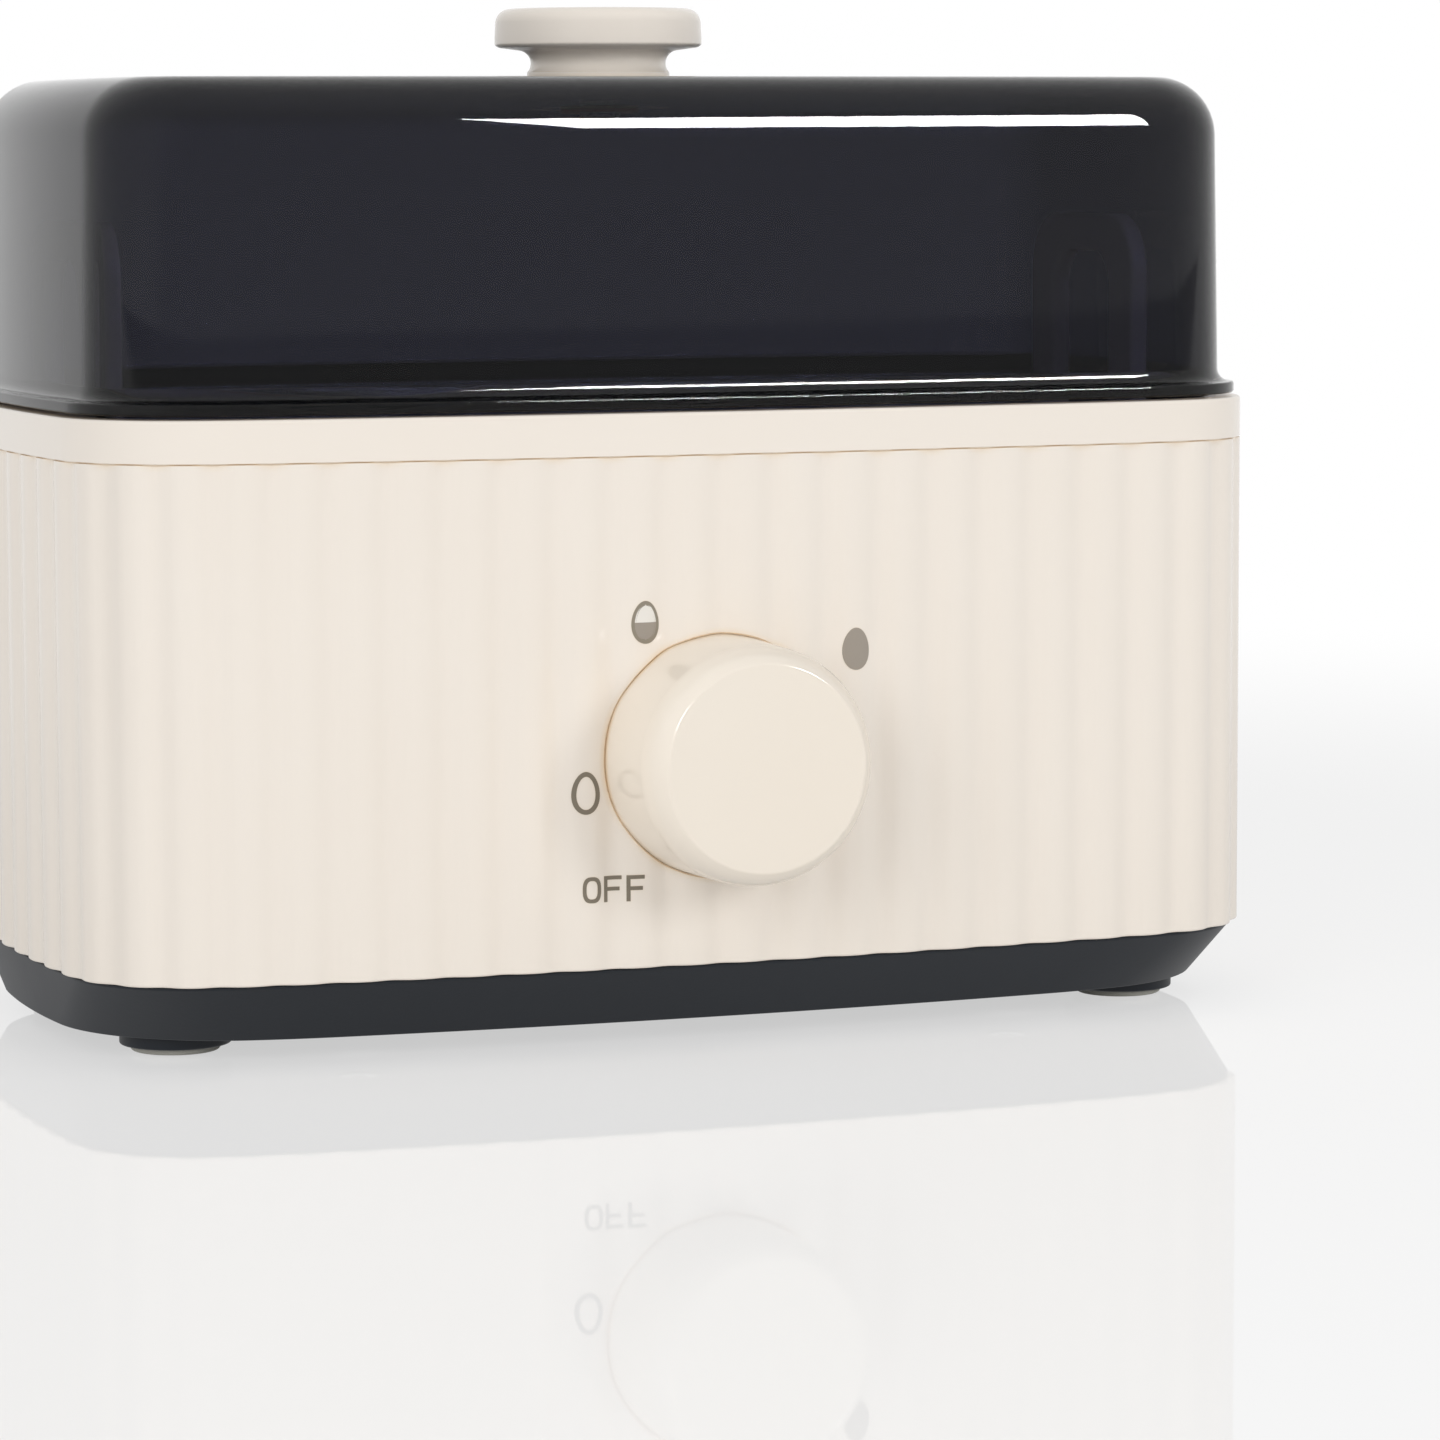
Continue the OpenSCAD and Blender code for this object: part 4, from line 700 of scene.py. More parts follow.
class EGGCOOKER_OT_wall(bpy.types.Operator):
    """Makes the fluted wall, with a well that the dial turns in and a pad round the cord gland"""
    bl_idname = "egg_cooker.wall"
    bl_label = "Fluted wall"

    def execute(self, context):
        body = context.scene.egg_cooker_body
        plan, skin = Plan(body), Skin()
        low, high = box("body_shell")
        edge, seam = body.wall_edge, body.seam_edge
        arc = np.linspace(0, pi / 2, EDGE_ROWS)
        rows = np.linspace(low[2] + edge + HOLD, high[2] - seam - HOLD, WALL_ROWS)
        heights = np.concatenate([low[2] + edge * (1 - np.cos(arc)), rows,
                                  high[2] - seam * (1 - np.cos(arc[::-1]))])
        cuts = np.concatenate([edge * (1 - np.sin(arc)), 0 * rows, seam * (1 - np.sin(arc[::-1]))])
        steps = plan.flutes * FLUTE_STEPS
        outer = plan.carry(plan.flute(plan.loop(steps)[0])[:, None] + cuts, heights, steps)
        inner = plan.carry(np.full(len(heights), body.wall_inside), heights, steps)
        kept = np.ones((len(outer), len(heights) - 1), bool)
        pad, deep, margin = body.pad_radius, body.pad_depth, 3 * MM
        well = [(box("dial_knob")[1][0] + body.well_gap, -body.well_depth, 0),
                (pad, -body.well_depth, 0)]
        front, back = wall_bores()
        for (place, _, bore), before, rings, groove, behind in (
                (front, well, DIAL_RINGS, body.groove_width, False),
                (back, [], GLAND_RINGS, 0, True)):
            seat = rounded([*before, (pad, 0, edge), (bore, 0, edge), (bore, -deep, 0),
                            (pad, -deep, 0)])
            loop, columns, levels = self.window(plan, heights, steps, place[2], seat[0, 0] + margin)
            mouth = self.mouth(plan, loop, seat, place[2], body, rings, groove)
            if behind:
                columns = columns + 2 * steps
                mouth = mouth * (-1, -1, 1) + (0, 2 * plan.middle[1], 0)
            kept[np.ix_(columns % len(kept), levels)] = False
            skin.grid(mouth)
        skin.slab(outer, inner, kept)
        skin.piece("fluted_wall", cream_abs(), "housing", "cream_plastic", "body_shell")
        return {"FINISHED"}

    def window(self, plan, heights, steps, z, reach):
        """A window in the wall's grid round a bore: its edge as a loop of (distance along the
        front, height), and the grid's columns and rows inside it."""
        pitch = plan.lengths[-1] / steps
        wide = int(np.ceil(reach / pitch))
        bottom = np.searchsorted(heights, z - reach) - 1
        top = np.searchsorted(heights, z + reach)
        across, up = np.arange(-wide, wide + 1) * pitch, heights[bottom:top + 1]
        sides = [(across[:-1], up[0]), (across[-1], up[:-1]), (across[:0:-1], up[-1]),
                 (across[0], up[:0:-1])]
        loop = np.concatenate([np.stack(np.broadcast_arrays(*side), -1) for side in sides])
        return loop, np.arange(-wide, wide), np.arange(bottom, top)

    def mouth(self, plan, loop, seat, axis, body, rings, groove):
        """The wall from a window's edge to a bore: outside, straight lines from the window to the
        seat's circle on the fluted surface and a groove that follows it, then the seat's profile
        turned round the bore, and straight lines back to the window on the inner face."""
        turn = np.arctan2(loop[:, 1] - axis, loop[:, 0])[:, None]
        c, s = np.cos(turn), np.sin(turn)

        def lines(radius, share):
            """Points at a share of the way from a circle to the window."""
            return (c * radius * (1 - share) + loop[:, :1] * share,
                    axis + s * radius * (1 - share) + (loop[:, 1:] - axis) * share)
        soft, edge = body.seam_edge, seat[0, 0] + groove
        run, z = lines(edge + soft, np.linspace(1, 0, rings))
        outside = plan.front(run, z, plan.flute(run))
        rows = [(edge, soft)]
        if groove:
            rows += [(edge, body.groove_depth), (seat[0, 0], body.groove_depth)]
        radii, depths = np.array(rows).T
        run, z = lines(radii, np.zeros(len(rows)))
        lip = plan.front(run, z, plan.flute(run) + depths)
        crest = plan.middle[1] - plan.half_depth
        bored = np.stack([c * seat[:, 0],
                          np.broadcast_to(crest - seat[:, 1], (len(loop), len(seat))),
                          axis + s * seat[:, 0]], -1)
        run, z = lines(body.pad_radius, np.linspace(0, 1, INNER_RINGS))
        inside = plan.front(run, z, np.full(run.shape, body.wall_inside))
        return np.concatenate([outside, lip, bored, inside], 1)


class EGGCOOKER_OT_rim(bpy.types.Operator):
    """Makes the rim band with its two steps and its four screw posts"""
    bl_idname = "egg_cooker.rim"
    bl_label = "Rim"

    def execute(self, context):
        body = context.scene.egg_cooker_body
        plan, skin = Plan(body), Skin()
        low, high = box("rim_ring")
        top, rest = high[2], box("body_shell")[1][2] + 10 * MERGE
        bottom = rest + body.rim_gap
        lid_seat, pan_seat = box("lid_shell")[0][2], box("pan_seal")[0][2]
        under = pan_seat - body.rim_ledge
        edge, lip, seat, step = body.wall_edge, body.lip_inset, body.rim_seat, body.rim_step
        sweep = skin.sweep(plan, rounded([
            (lip, under, 0), (lip, rest, 0), (body.seam_depth, rest, 0),
            (body.seam_depth, bottom, 0), (0, bottom, body.seam_edge), (0, top, body.rim_round),
            (seat, top, edge), (seat, lid_seat, edge), (step, lid_seat, edge),
            (step, pan_seat, 0)]))
        room, bored = 1 * MM, low[2] + 14 * MM
        mouth = skin.grid(round_box(body.bowl_x + room, body.bowl_y + room, body.bowl_round + room,
                                    [(0, pan_seat), (0, under)], plan.middle))
        post = rounded([(0, bored, 0), (SCREW_BORE, bored, 0), (SCREW_BORE, low[2], FINE),
                        (body.post_radius, low[2], edge), (body.post_radius, under, 0)])
        posts = skin.turn(post, corners_of("base_screws", SCREW_HEAD), steps=48)
        skin.close(sweep, [mouth], [mouth, *posts])
        skin.piece("rim_band", cream_abs(), "housing", "cream_plastic", "rim_ring")
        return {"FINISHED"}


class EGGCOOKER_OT_base(bpy.types.Operator):
    """Makes the black base tub with its lip, foot bosses and screw recesses"""
    bl_idname = "egg_cooker.base"
    bl_label = "Base"

    def execute(self, context):
        body = context.scene.egg_cooker_body
        plan, skin = Plan(body), Skin()
        low, high = box("base_pan")
        seam, lip_top = box("body_shell")[0][2], high[2]
        pad_top = box("foot_pads")[1][2]
        bottom, floor = pad_top + body.base_lift, base_floor(body)
        foot, brow, lip, edge = body.base_inset, body.brow_inset, body.lip_inset, body.wall_edge
        lip_in = lip + body.lip_wall
        # flat under the lower edge, lean of the wall inside, and depth of the lip's foot
        strip, lean, sunk = 0.45 * MM, 3.7 * MM, 1 * MM
        tub = rounded([(foot + strip, bottom, 0), (foot, bottom, body.base_edge),
                       (brow, seam, edge), (lip, seam, 0), (lip, lip_top, edge),
                       (lip_in, lip_top, edge), (lip_in, seam - sunk, 0), (foot + lean, floor, 0),
                       (foot + lean + 2 * SOFT, floor, 0)])
        sweep = plan.carry(tub[:, 0], tub[:, 1])
        # the tub goes over to its own rounder outline from the seam down
        low_share = np.clip((seam - tub[:, 1]) / (seam - bottom), 0, 1)
        low_plan = Plan(body, (body.base_side, foot, 0), body.base_corner)
        run, *signs = plan.loop(QUARTER_STEPS)
        turn = np.interp(run, plan.lengths, plan.turns)
        shift = np.array(low_plan.point(turn, 0)) - np.array(plan.point(turn, foot))
        sweep[..., :2] += (signs * shift).T[:, None] * low_share[:, None]
        skin.grid(sweep)
        ring, head = FOOT_RADIUS + CLEAR, SCREW_HEAD + 2 * CLEAR
        boss = rounded([(0, pad_top, 0), (ring, pad_top, 0), (ring, low[2], FINE),
                        (ring + body.boss_wall, low[2], edge), (ring + body.boss_wall, bottom, 0)])
        recess = rounded([(0, floor - CLEAR, 0), (head, floor - CLEAR, 0), (head, bottom, 0)])
        holes = skin.turn(boss, corners_of("foot_pads", FOOT_RADIUS), steps=64)
        holes += skin.turn(recess, corners_of("base_screws", SCREW_HEAD), steps=48)
        skin.close(sweep, [], holes)
        skin.piece("base_tub", black_pp(), "housing", "black_plastic", "base_pan")
        return {"FINISHED"}


class EGGCOOKER_OT_feet(bpy.types.Operator):
    """Makes the four soft feet"""
    bl_idname = "egg_cooker.feet"
    bl_label = "Feet"

    def execute(self, context):
        skin = Skin()
        low, high = box("foot_pads")
        dish, dish_radius, edge = 0.4 * MM, FOOT_RADIUS / 2, 0.6 * MM
        foot = rounded([(0, low[2] + dish, 0), (dish_radius, low[2] + dish, dish),
                        (dish_radius + dish, low[2], FINE), (FOOT_RADIUS, low[2], edge),
                        (FOOT_RADIUS, high[2], FINE), (0, high[2], 0)])
        skin.turn(foot, corners_of("foot_pads", FOOT_RADIUS), steps=64)
        skin.piece("soft_feet", grey_rubber(), "housing", "foot_rubber", "foot_pads")
        return {"FINISHED"}


class EGGCOOKER_OT_screws(bpy.types.Operator):
    """Makes the four base screws, their heads sunk in the base"""
    bl_idname = "egg_cooker.screws"
    bl_label = "Base screws"

    def execute(self, context):
        body, skin = context.scene.egg_cooker_body, Skin()
        end, sunk = box("base_screws")[1][2], 0.25 * MM
        face = box("foot_pads")[1][2] + body.base_lift + sunk
        seat = base_floor(body) - 2 * CLEAR
        head, shank, key, deep = SCREW_HEAD, 1.4 * MM, 1.5 * MM, 0.8 * MM
        profile = rounded([(0, face + deep, 0), (key, face + deep, 0), (key, face, CLEAR),
                           (head, face, 0.3 * MM), (head, seat, CLEAR), (shank, seat, 0),
                           (shank, end, SOFT), (0, end, 0)])
        lobes, swell, steps = 6, 0.13, 60
        keyed = ((profile[:, 0] < key + 1.5 * CLEAR) & (profile[:, 1] < face + deep + MERGE))
        reach = np.where(keyed, 1 + swell * np.cos(lobes * circle(steps)), 1)
        screw = turned(profile, (0, 0, 0), steps=steps)
        screw[..., :2] *= reach[..., None]
        for x, y in corners_of("base_screws", SCREW_HEAD):
            skin.grid(screw + (x, y, 0))
        skin.piece("sunk_screws", metal(*METALS["stainless_steel"]), "housing", "stainless_steel",
                   "base_screws")
        return {"FINISHED"}


class EGGCOOKER_OT_gland(bpy.types.Operator):
    """Makes the cord gland in the back wall"""
    bl_idname = "egg_cooker.gland"
    bl_label = "Cord gland"

    def execute(self, context):
        body, skin = context.scene.egg_cooker_body, Skin()
        low, high = box("cord_gland")
        place, facing, _ = wall_bores()[1]
        flange, out, deep = half_of("cord_gland")[0], high[1] - place[1], low[1] - place[1]
        bore, barrel, blunt, step = body.gland_bore, body.gland_barrel, 0.5 * MM, 0.45 * out
        neck, nose = flange - 1.4 * MM, flange - 1.9 * MM
        ring = rounded([(bore, deep, 0.3 * MM), (barrel, deep, SOFT), (barrel, 0, 0),
                        (flange, 0, FINE), (flange, step, blunt), (neck, step, FINE),
                        (nose, out, blunt), (bore, out, 0.7 * MM)], closed=True)
        skin.grid(turned(ring, place, facing), closed=True)
        skin.piece("gland_collar", black_pp(), "housing", "black_plastic", "cord_gland")
        return {"FINISHED"}


class EGGCOOKER_OT_pan(bpy.types.Operator):
    """Makes the pressed water pan with its rounded bowl and two studs"""
    bl_idname = "egg_cooker.pan"
    bl_label = "Water pan"

    def execute(self, context):
        body = context.scene.egg_cooker_body
        plan, skin = Plan(body), Skin()
        low, high = box("heating_pan")
        sheet, top, floor = body.pan_sheet, high[2], box("heat_spreader")[1][2]
        mouth, fillet = 1.2 * MM, body.bowl_fillet
        out, flat = sheet - 1.5 * mouth, sheet + 2 * fillet
        profiles = (rounded([(out, top, 0), (sheet, top, mouth), (sheet, floor + sheet, fillet),
                             (flat, floor + sheet, 0)]),
                    rounded([(flat, floor, 0), (0, floor, fillet + sheet), (0, top - sheet, SOFT),
                             (out, top - sheet, 0)]))
        inside, outside = (skin.grid(round_box(body.bowl_x, body.bowl_y, body.bowl_round, profile,
                                               plan.middle)) for profile in profiles)
        edge = plan.half_depth - half_of("heating_pan")[1]
        rim = skin.sweep(plan, np.array([(edge, top - sheet), (edge, top)]))
        skin.close(rim, [inside], [outside])
        skin.plate([inside[:, -1]])
        skin.plate([outside[:, 0]], upwards=False)
        stud, welded = 2 * MM, floor + sheet / 2
        rod = rounded([(0, low[2], 0), (stud, low[2], SOFT), (stud, welded, 0), (0, welded, 0)])
        # a stud stands in each hexagonal nut, which reaches its corner to the side
        stud_x = box("clamp_nuts")[1][0] - half_of("clamp_nuts")[1] / cos(pi / 6)
        skin.turn(rod, [(x, middle_of("clamp_nuts")[1]) for x in (-stud_x, stud_x)], steps=32)
        skin.piece("water_pan", metal(*METALS["stainless_steel"]), "housing", "stainless_steel",
                   "heating_pan")
        return {"FINISHED"}


class EGGCOOKER_OT_dial(bpy.types.Operator):
    """Makes the dial with its rounded front edge, and its hub inside"""
    bl_idname = "egg_cooker.dial"
    bl_label = "Dial"

    def execute(self, context):
        moving, skin = context.scene.egg_cooker_moving, Skin()
        place, facing, _ = wall_bores()[0]
        back, front = -moving.dial_sunk, place[1] - box("dial_knob")[0][1]
        radius, wall, hub = half_of("dial_knob")[0], moving.dial_wall, moving.hub_radius
        slack, hub_gap, blunt, fillet = 0.06 * MM, 1.2 * MM, 0.3 * MM, 1 * MM
        shaft = half_of("dial_shaft")[0] + slack
        shaft_end = place[1] - box("dial_shaft")[0][1] + CLEAR
        hub_back = place[1] - box("thermostat_bush")[0][1] + hub_gap
        inner, shoulder = front - wall, front - moving.dial_slope
        profile = rounded([(0, shaft_end, 0), (shaft, shaft_end, 0), (shaft, hub_back, blunt),
                           (hub, hub_back, blunt), (hub, inner, SOFT),
                           (moving.dial_face - wall, inner, fillet),
                           (moving.dial_shoulder - wall, shoulder - 2 * wall, fillet),
                           (radius - wall, back, FINE), (radius, back, FINE / 4),
                           (moving.dial_shoulder, shoulder, moving.dial_round),
                           (moving.dial_face, front, moving.dial_edge), (0, front, 0)], steps=10)
        skin.grid(turned(profile, place, facing, steps=144))
        skin.piece("dial_cap", warm_abs(), "dial", "cream_plastic", "dial_knob")
        return {"FINISHED"}


class EGGCOOKER_OT_marks(bpy.types.Operator):
    """Prints the OFF mark and the three egg marks beside the dial"""
    bl_idname = "egg_cooker.marks"
    bl_label = "Printed marks"

    def execute(self, context):
        marks = self.marks = context.scene.egg_cooker_marks
        self.plan = Plan(context.scene.egg_cooker_body)
        tint, stroke = context.scene.egg_cooker_colours, marks.stroke
        lines, halves, fills, whites = Skin(), Skin(), Skin(), Skin()
        soft = self.place(marks.soft_angle, marks.soft_distance)
        medium = self.place(marks.medium_angle, marks.medium_distance)
        hard = self.place(marks.hard_angle, marks.hard_distance)
        for skin, middle in ((lines, soft), (halves, medium)):
            self.film(skin, self.egg(middle, np.array([stroke, stroke / 2, 0])), True)
        rings, columns, rows = 10, 25, 12
        self.film(fills, self.egg(hard, 0, np.linspace(0, 1, rings)), True)
        for skin, half in ((fills, -1), (whites, 1)):
            across, up = np.linspace(-1, 1, columns), np.linspace(0, half, rows)
            self.film(skin, self.half_egg(medium, across, up), False)
        self.letters(lines)
        for skin, name, ink, finish in (
                (lines, "mark_lines", tint.ink, "pad-printed ink"),
                (halves, "mark_half", tint.ink_thin, "pad-printed thin ink"),
                (fills, "mark_fills", tint.ink_fill, "pad-printed fill ink"),
                (whites, "mark_white", tint.ink_white, "pad-printed white ink")):
            skin.piece(name, pad_ink(finish, ink), "housing", "cream_plastic")
        return {"FINISHED"}

    def place(self, turn, distance):
        """A point on the front at an angle and distance from the dial's middle."""
        middle = wall_bores()[0][0]
        return middle[0] + distance * cos(turn), middle[2] + distance * sin(turn)

    def egg_outline(self, turn, shrink):
        """An egg: (w/2 - shrink) cos a (1 - taper sin a) across and (h/2 - shrink) sin a up, so
        narrower at its top."""
        taper = 0.1
        wide, high = self.marks.egg_width / 2 - shrink, self.marks.egg_height / 2 - shrink
        return wide * np.cos(turn) * (1 - taper * np.sin(turn)), high * np.sin(turn)

    def egg(self, middle, shrinks, shares=1, steps=72):
        """Rings of an egg, from the innermost to the outline: moved in by a width, or scaled by a
        share."""
        across, up = self.egg_outline(circle(steps), shrinks)
        return np.stack([middle[0] + across * shares, middle[1] + up * shares], -1)

    def half_egg(self, middle, across, up):
        """The part of an egg inside its outline that is above or below its middle: at each share of
        its height, a row from the left side to the right."""
        tucked = 0.7 * self.marks.stroke
        width, height = self.egg_outline(np.arcsin(up), tucked)
        x = middle[0] + across[:, None] * width
        grid = np.stack([x, np.broadcast_to(middle[1] + height, x.shape)], -1)
        return grid if up[-1] > 0 else grid[::-1]

    def letters(self, skin):
        """O as a squared ring, |cos|^p and |sin|^p with their signs, and each F as an upright with
        two bars. The shares are of a letter's width."""
        marks = self.marks
        squared, lead, bar_share, short = 0.72, 0.47, 0.94, 0.1
        wide, high, line = marks.letter_width, marks.letter_height, marks.letter_stroke
        left, half_way = self.place(marks.off_angle, marks.off_distance)
        left -= marks.letter_pitch + lead * wide
        low, top = half_way - high / 2, half_way + high / 2
        c, s = (np.sign(wave) * np.abs(wave) ** squared
                for wave in (np.cos(circle(64)), np.sin(circle(64))))
        inset = np.array([line, line / 2, 0])
        self.film(skin, np.stack([left + wide / 2 + c * (wide / 2 - inset),
                                  half_way + s * (high / 2 - inset)], -1), True)
        for k in (1, 2):
            x = left + k * marks.letter_pitch
            end, beside = x + bar_share * wide, x + line + 4 * MERGE
            self.bar(skin, x, low, x + line, top)
            self.bar(skin, beside, top - line, end, top)
            self.bar(skin, beside, half_way - line / 2, end - short * wide, half_way + line / 2)

    def bar(self, skin, left, low, right, high):
        """A straight stroke as a grid in fine steps, so that it follows the flutes."""
        step = 0.25 * MM
        x, z = np.meshgrid(np.linspace(left, right, 2 + int((right - left) / step)),
                           np.linspace(low, high, 4), indexing="ij")
        self.film(skin, np.stack([x, z], -1), False)

    def film(self, skin, flat, ring):
        """A thin closed film on the fluted front: the flat shape's points lifted by the film's
        thickness, the same points a little under the surface, and the edges between them."""
        lift, (run, z) = self.marks.film, np.moveaxis(flat, -1, 0)
        top, under = (self.plan.front(run, z, self.plan.flute(run) + sunk)
                      for sunk in (-lift, 2 * lift))
        if ring:
            top, under = top[:, ::-1], under[:, ::-1]
        skin.slab(top, under, wraps=ring)


class EGGCOOKER_OT_tray(bpy.types.Operator):
    """Makes the egg tray with its six collared holes"""
    bl_idname = "egg_cooker.tray"
    bl_label = "Egg tray"

    def execute(self, context):
        moving = context.scene.egg_cooker_moving
        plan, skin = Plan(context.scene.egg_cooker_body), Skin()
        low, high = box("egg_tray")
        out = plan.half_depth - half_of("egg_tray")[1]
        wall, bottom, top = moving.tray_wall, low[2], high[2] - moving.collar_rise
        skirt = out + moving.tray_skirt
        sweep = skin.sweep(plan, rounded([(skirt, top - wall, 0), (skirt, bottom, SOFT),
                                          (out, bottom, SOFT), (out, top, moving.tray_edge),
                                          (skirt, top, 0)]))
        inner, outer = moving.egg_radius, moving.egg_radius + moving.collar_wall
        tucked, edge = inner + 0.15 * MM, 0.45 * moving.collar_wall
        drop = top - wall - moving.collar_drop
        collar = rounded([(inner, drop, edge), (outer, drop, edge), (outer, high[2], edge),
                          (inner, high[2], edge)], closed=True)
        places = [(x * moving.egg_pitch_x, plan.middle[1] + y * moving.egg_pitch_y)
                  for x in (-1, 0, 1) for y in (-0.5, 0.5)]
        skin.turn(collar, places, closed=True)
        holes = skin.turn([(tucked, top), (tucked, top - wall)], places)
        skin.close(sweep, holes, holes)
        skin.piece("tray_plate", cream_abs(), "tray", "cream_plastic", "egg_tray")
        return {"FINISHED"}


def arch(width, height, radius, leg=12, bend=16, top=12):
    """An arch from its left foot to its right one: two legs, two quarter turns, a straight top."""
    turn = np.linspace(0, pi / 2, bend)
    half, spring = width / 2, height - radius
    rise = np.linspace(0, spring, leg)[:-1]
    across = np.linspace(radius - half, half - radius, top)[1:-1]
    bend_x, bend_z = half - radius + radius * np.cos(turn), spring + radius * np.sin(turn)
    x = np.concatenate([0 * rise - half, -bend_x, across, bend_x[::-1], 0 * rise + half])
    z = np.concatenate([rise, bend_z, 0 * across + height, bend_z[::-1], rise[::-1]])
    return np.stack([x, z], -1)


class EGGCOOKER_OT_handles(bpy.types.Operator):
    """Makes the tray's two arched handles"""
    bl_idname = "egg_cooker.handles"
    bl_label = "Tray handles"

    def execute(self, context):
        moving = context.scene.egg_cooker_moving
        foot = box("egg_tray")[1][2] - moving.collar_rise
        for side in ("left", "right"):
            skin, solid = Skin(), "tray_handle_" + side
            thick, wide, _ = 2 * half_of(solid)
            outer = arch(wide, box(solid)[1][2] - foot, moving.handle_round)
            inner = arch(moving.finger_width, moving.finger_height, moving.finger_round)
            x, y, _ = middle_of(solid)
            skin.grid(self.bow(outer, inner, thick, moving.handle_edge) + (x, y, foot), closed=True)
            skin.piece("handle_" + side, cream_abs(), "tray", "cream_plastic", solid)
        return {"FINISHED"}

    def bow(self, outer, inner, thick, edge):
        """A rounded rectangle carried along the arch: each section runs from the inner curve to the
        outer one, and a point at both feet closes it. The grid wraps round the section and along
        the closed arch."""
        turn = np.linspace(0, pi / 2, ARC_STEPS)
        corner = np.concatenate([turn + k * pi / 2 for k in range(4)])
        far = np.repeat([1, 0, 0, 1], ARC_STEPS)
        out = np.repeat([1, 1, -1, -1], ARC_STEPS) * (thick / 2 - edge) + edge * np.sin(corner)
        along = edge * np.cos(corner)
        width = np.linalg.norm(outer - inner, axis=1, keepdims=True)
        reach = np.where(far, width - edge + along, edge + along)
        flat = inner[:, None] + (outer - inner)[:, None] * (reach / width)[..., None]
        loop = np.stack([np.broadcast_to(out, reach.shape), flat[..., 0], flat[..., 1]], -1)
        ends = loop[[0, -1]].mean(1, keepdims=True).repeat(loop.shape[1], 1)
        return np.concatenate([ends[:1], loop, ends[1:]]).transpose(1, 0, 2)


class EGGCOOKER_OT_lid(bpy.types.Operator):
    """Makes the see-through lid with its flange, skirt, vents and screw hole"""
    bl_idname = "egg_cooker.lid"
    bl_label = "Lid"

    def execute(self, context):
        moving = context.scene.egg_cooker_moving
        plan, skin = Plan(context.scene.egg_cooker_body), Skin()
        low, high = box("lid_shell")
        top, wall, fillet, blunt = high[2], moving.lid_wall, moving.lid_fillet, 0.5 * MM
        seat = low[2] + moving.skirt_height
        shelf = seat + moving.lid_flange_height
        foot, flange, skirt = moving.lid_inset, moving.lid_flange, moving.skirt_inset
        lean = np.tan(moving.lid_draft) * (top - moving.lid_edge - shelf - fillet)
        brow, skirt_in = foot + lean, skirt + moving.skirt_wall
        land = brow + moving.lid_edge + 1 * MM
        sweep = skin.sweep(plan, rounded([
            (land, top - wall, 0), (brow + wall, top - wall, moving.lid_edge - wall),
            (foot + wall, shelf + fillet, blunt), (skirt_in, seat, blunt),
            (skirt_in, low[2], SOFT), (skirt, low[2], SOFT), (skirt, seat, SOFT),
            (flange, seat, SOFT), (flange, shelf, SOFT), (foot, shelf, fillet),
            (brow, top, moving.lid_edge), (land, top, 0)], steps=12))
        vent, screw, holes = moving.vent_radius, 1.8 * MM, []
        for x, radius in ((-moving.vent_place, vent), (0, screw), (moving.vent_place, vent)):
            mouth = radius + 2 * blunt
            hole = rounded([(mouth, top, 0), (radius, top, blunt), (radius, top - wall, blunt),
                            (mouth, top - wall, 0)])
            holes += skin.turn(hole, [(x, plan.middle[1])], steps=48)
        skin.close(sweep, holes, holes)
        skin.piece("lid_cover", smoke_san(), "lid", "smoke_plastic", "lid_shell")
        return {"FINISHED"}


class EGGCOOKER_OT_pull(bpy.types.Operator):
    """Makes the turned pull on the lid"""
    bl_idname = "egg_cooker.pull"
    bl_label = "Lid pull"

    def execute(self, context):
        moving, skin = context.scene.egg_cooker_moving, Skin()
        low, high = box("lid_pull")
        x, y, _ = middle_of("lid_pull")
        radius, foot, top = half_of("lid_pull")[0], low[2], high[2]
        bored, edge = box("lid_pull_screw")[1][2] + 0.3 * MM, moving.pull_edge
        step, waist, brim, crown = foot + 1 * MM, foot + 3.9 * MM, 0.55 * (top - foot), 0.3 * MM
        profile = rounded([(0, bored, 0), (SCREW_BORE, bored, 0), (SCREW_BORE, foot, FINE),
                           (moving.pull_foot, foot, FINE), (moving.pull_foot, step, SOFT),
                           (moving.pull_waist, waist, 2 * MM),
                           (radius + SOFT, top - brim, edge / 2),
                           (radius - SOFT, top - crown, edge * 0.9), (0, top, 0)], steps=10)
        profile[:, 0] = np.minimum(profile[:, 0], radius)
        skin.turn(profile, [(x, y)])
        skin.piece("pull_knob", cream_abs(), "lid", "cream_plastic", "lid_pull")
        return {"FINISHED"}


class EGGCOOKER_OT_finishes(bpy.types.Operator):
    """Gives the CAD nodes that stay their finishes"""
    bl_idname = "egg_cooker.finishes"
    bl_label = "Finishes"

    def execute(self, context):
        finishes = {slot: metal(*row) for slot, row in METALS.items()}
        for slot, (name, plain, cloud, *grain) in PLASTICS.items():
            finishes[slot] = moulded(name, linear(plain), linear(cloud), *grain)
        finishes["black_plastic"] = black_pp()
        for row in frame["record"]["subparts"]:
            for slot in frame["nodes"][row["node"]].material_slots:
                slot.material = finishes.get(row["material_slot"], cream_abs())
        return {"FINISHED"}


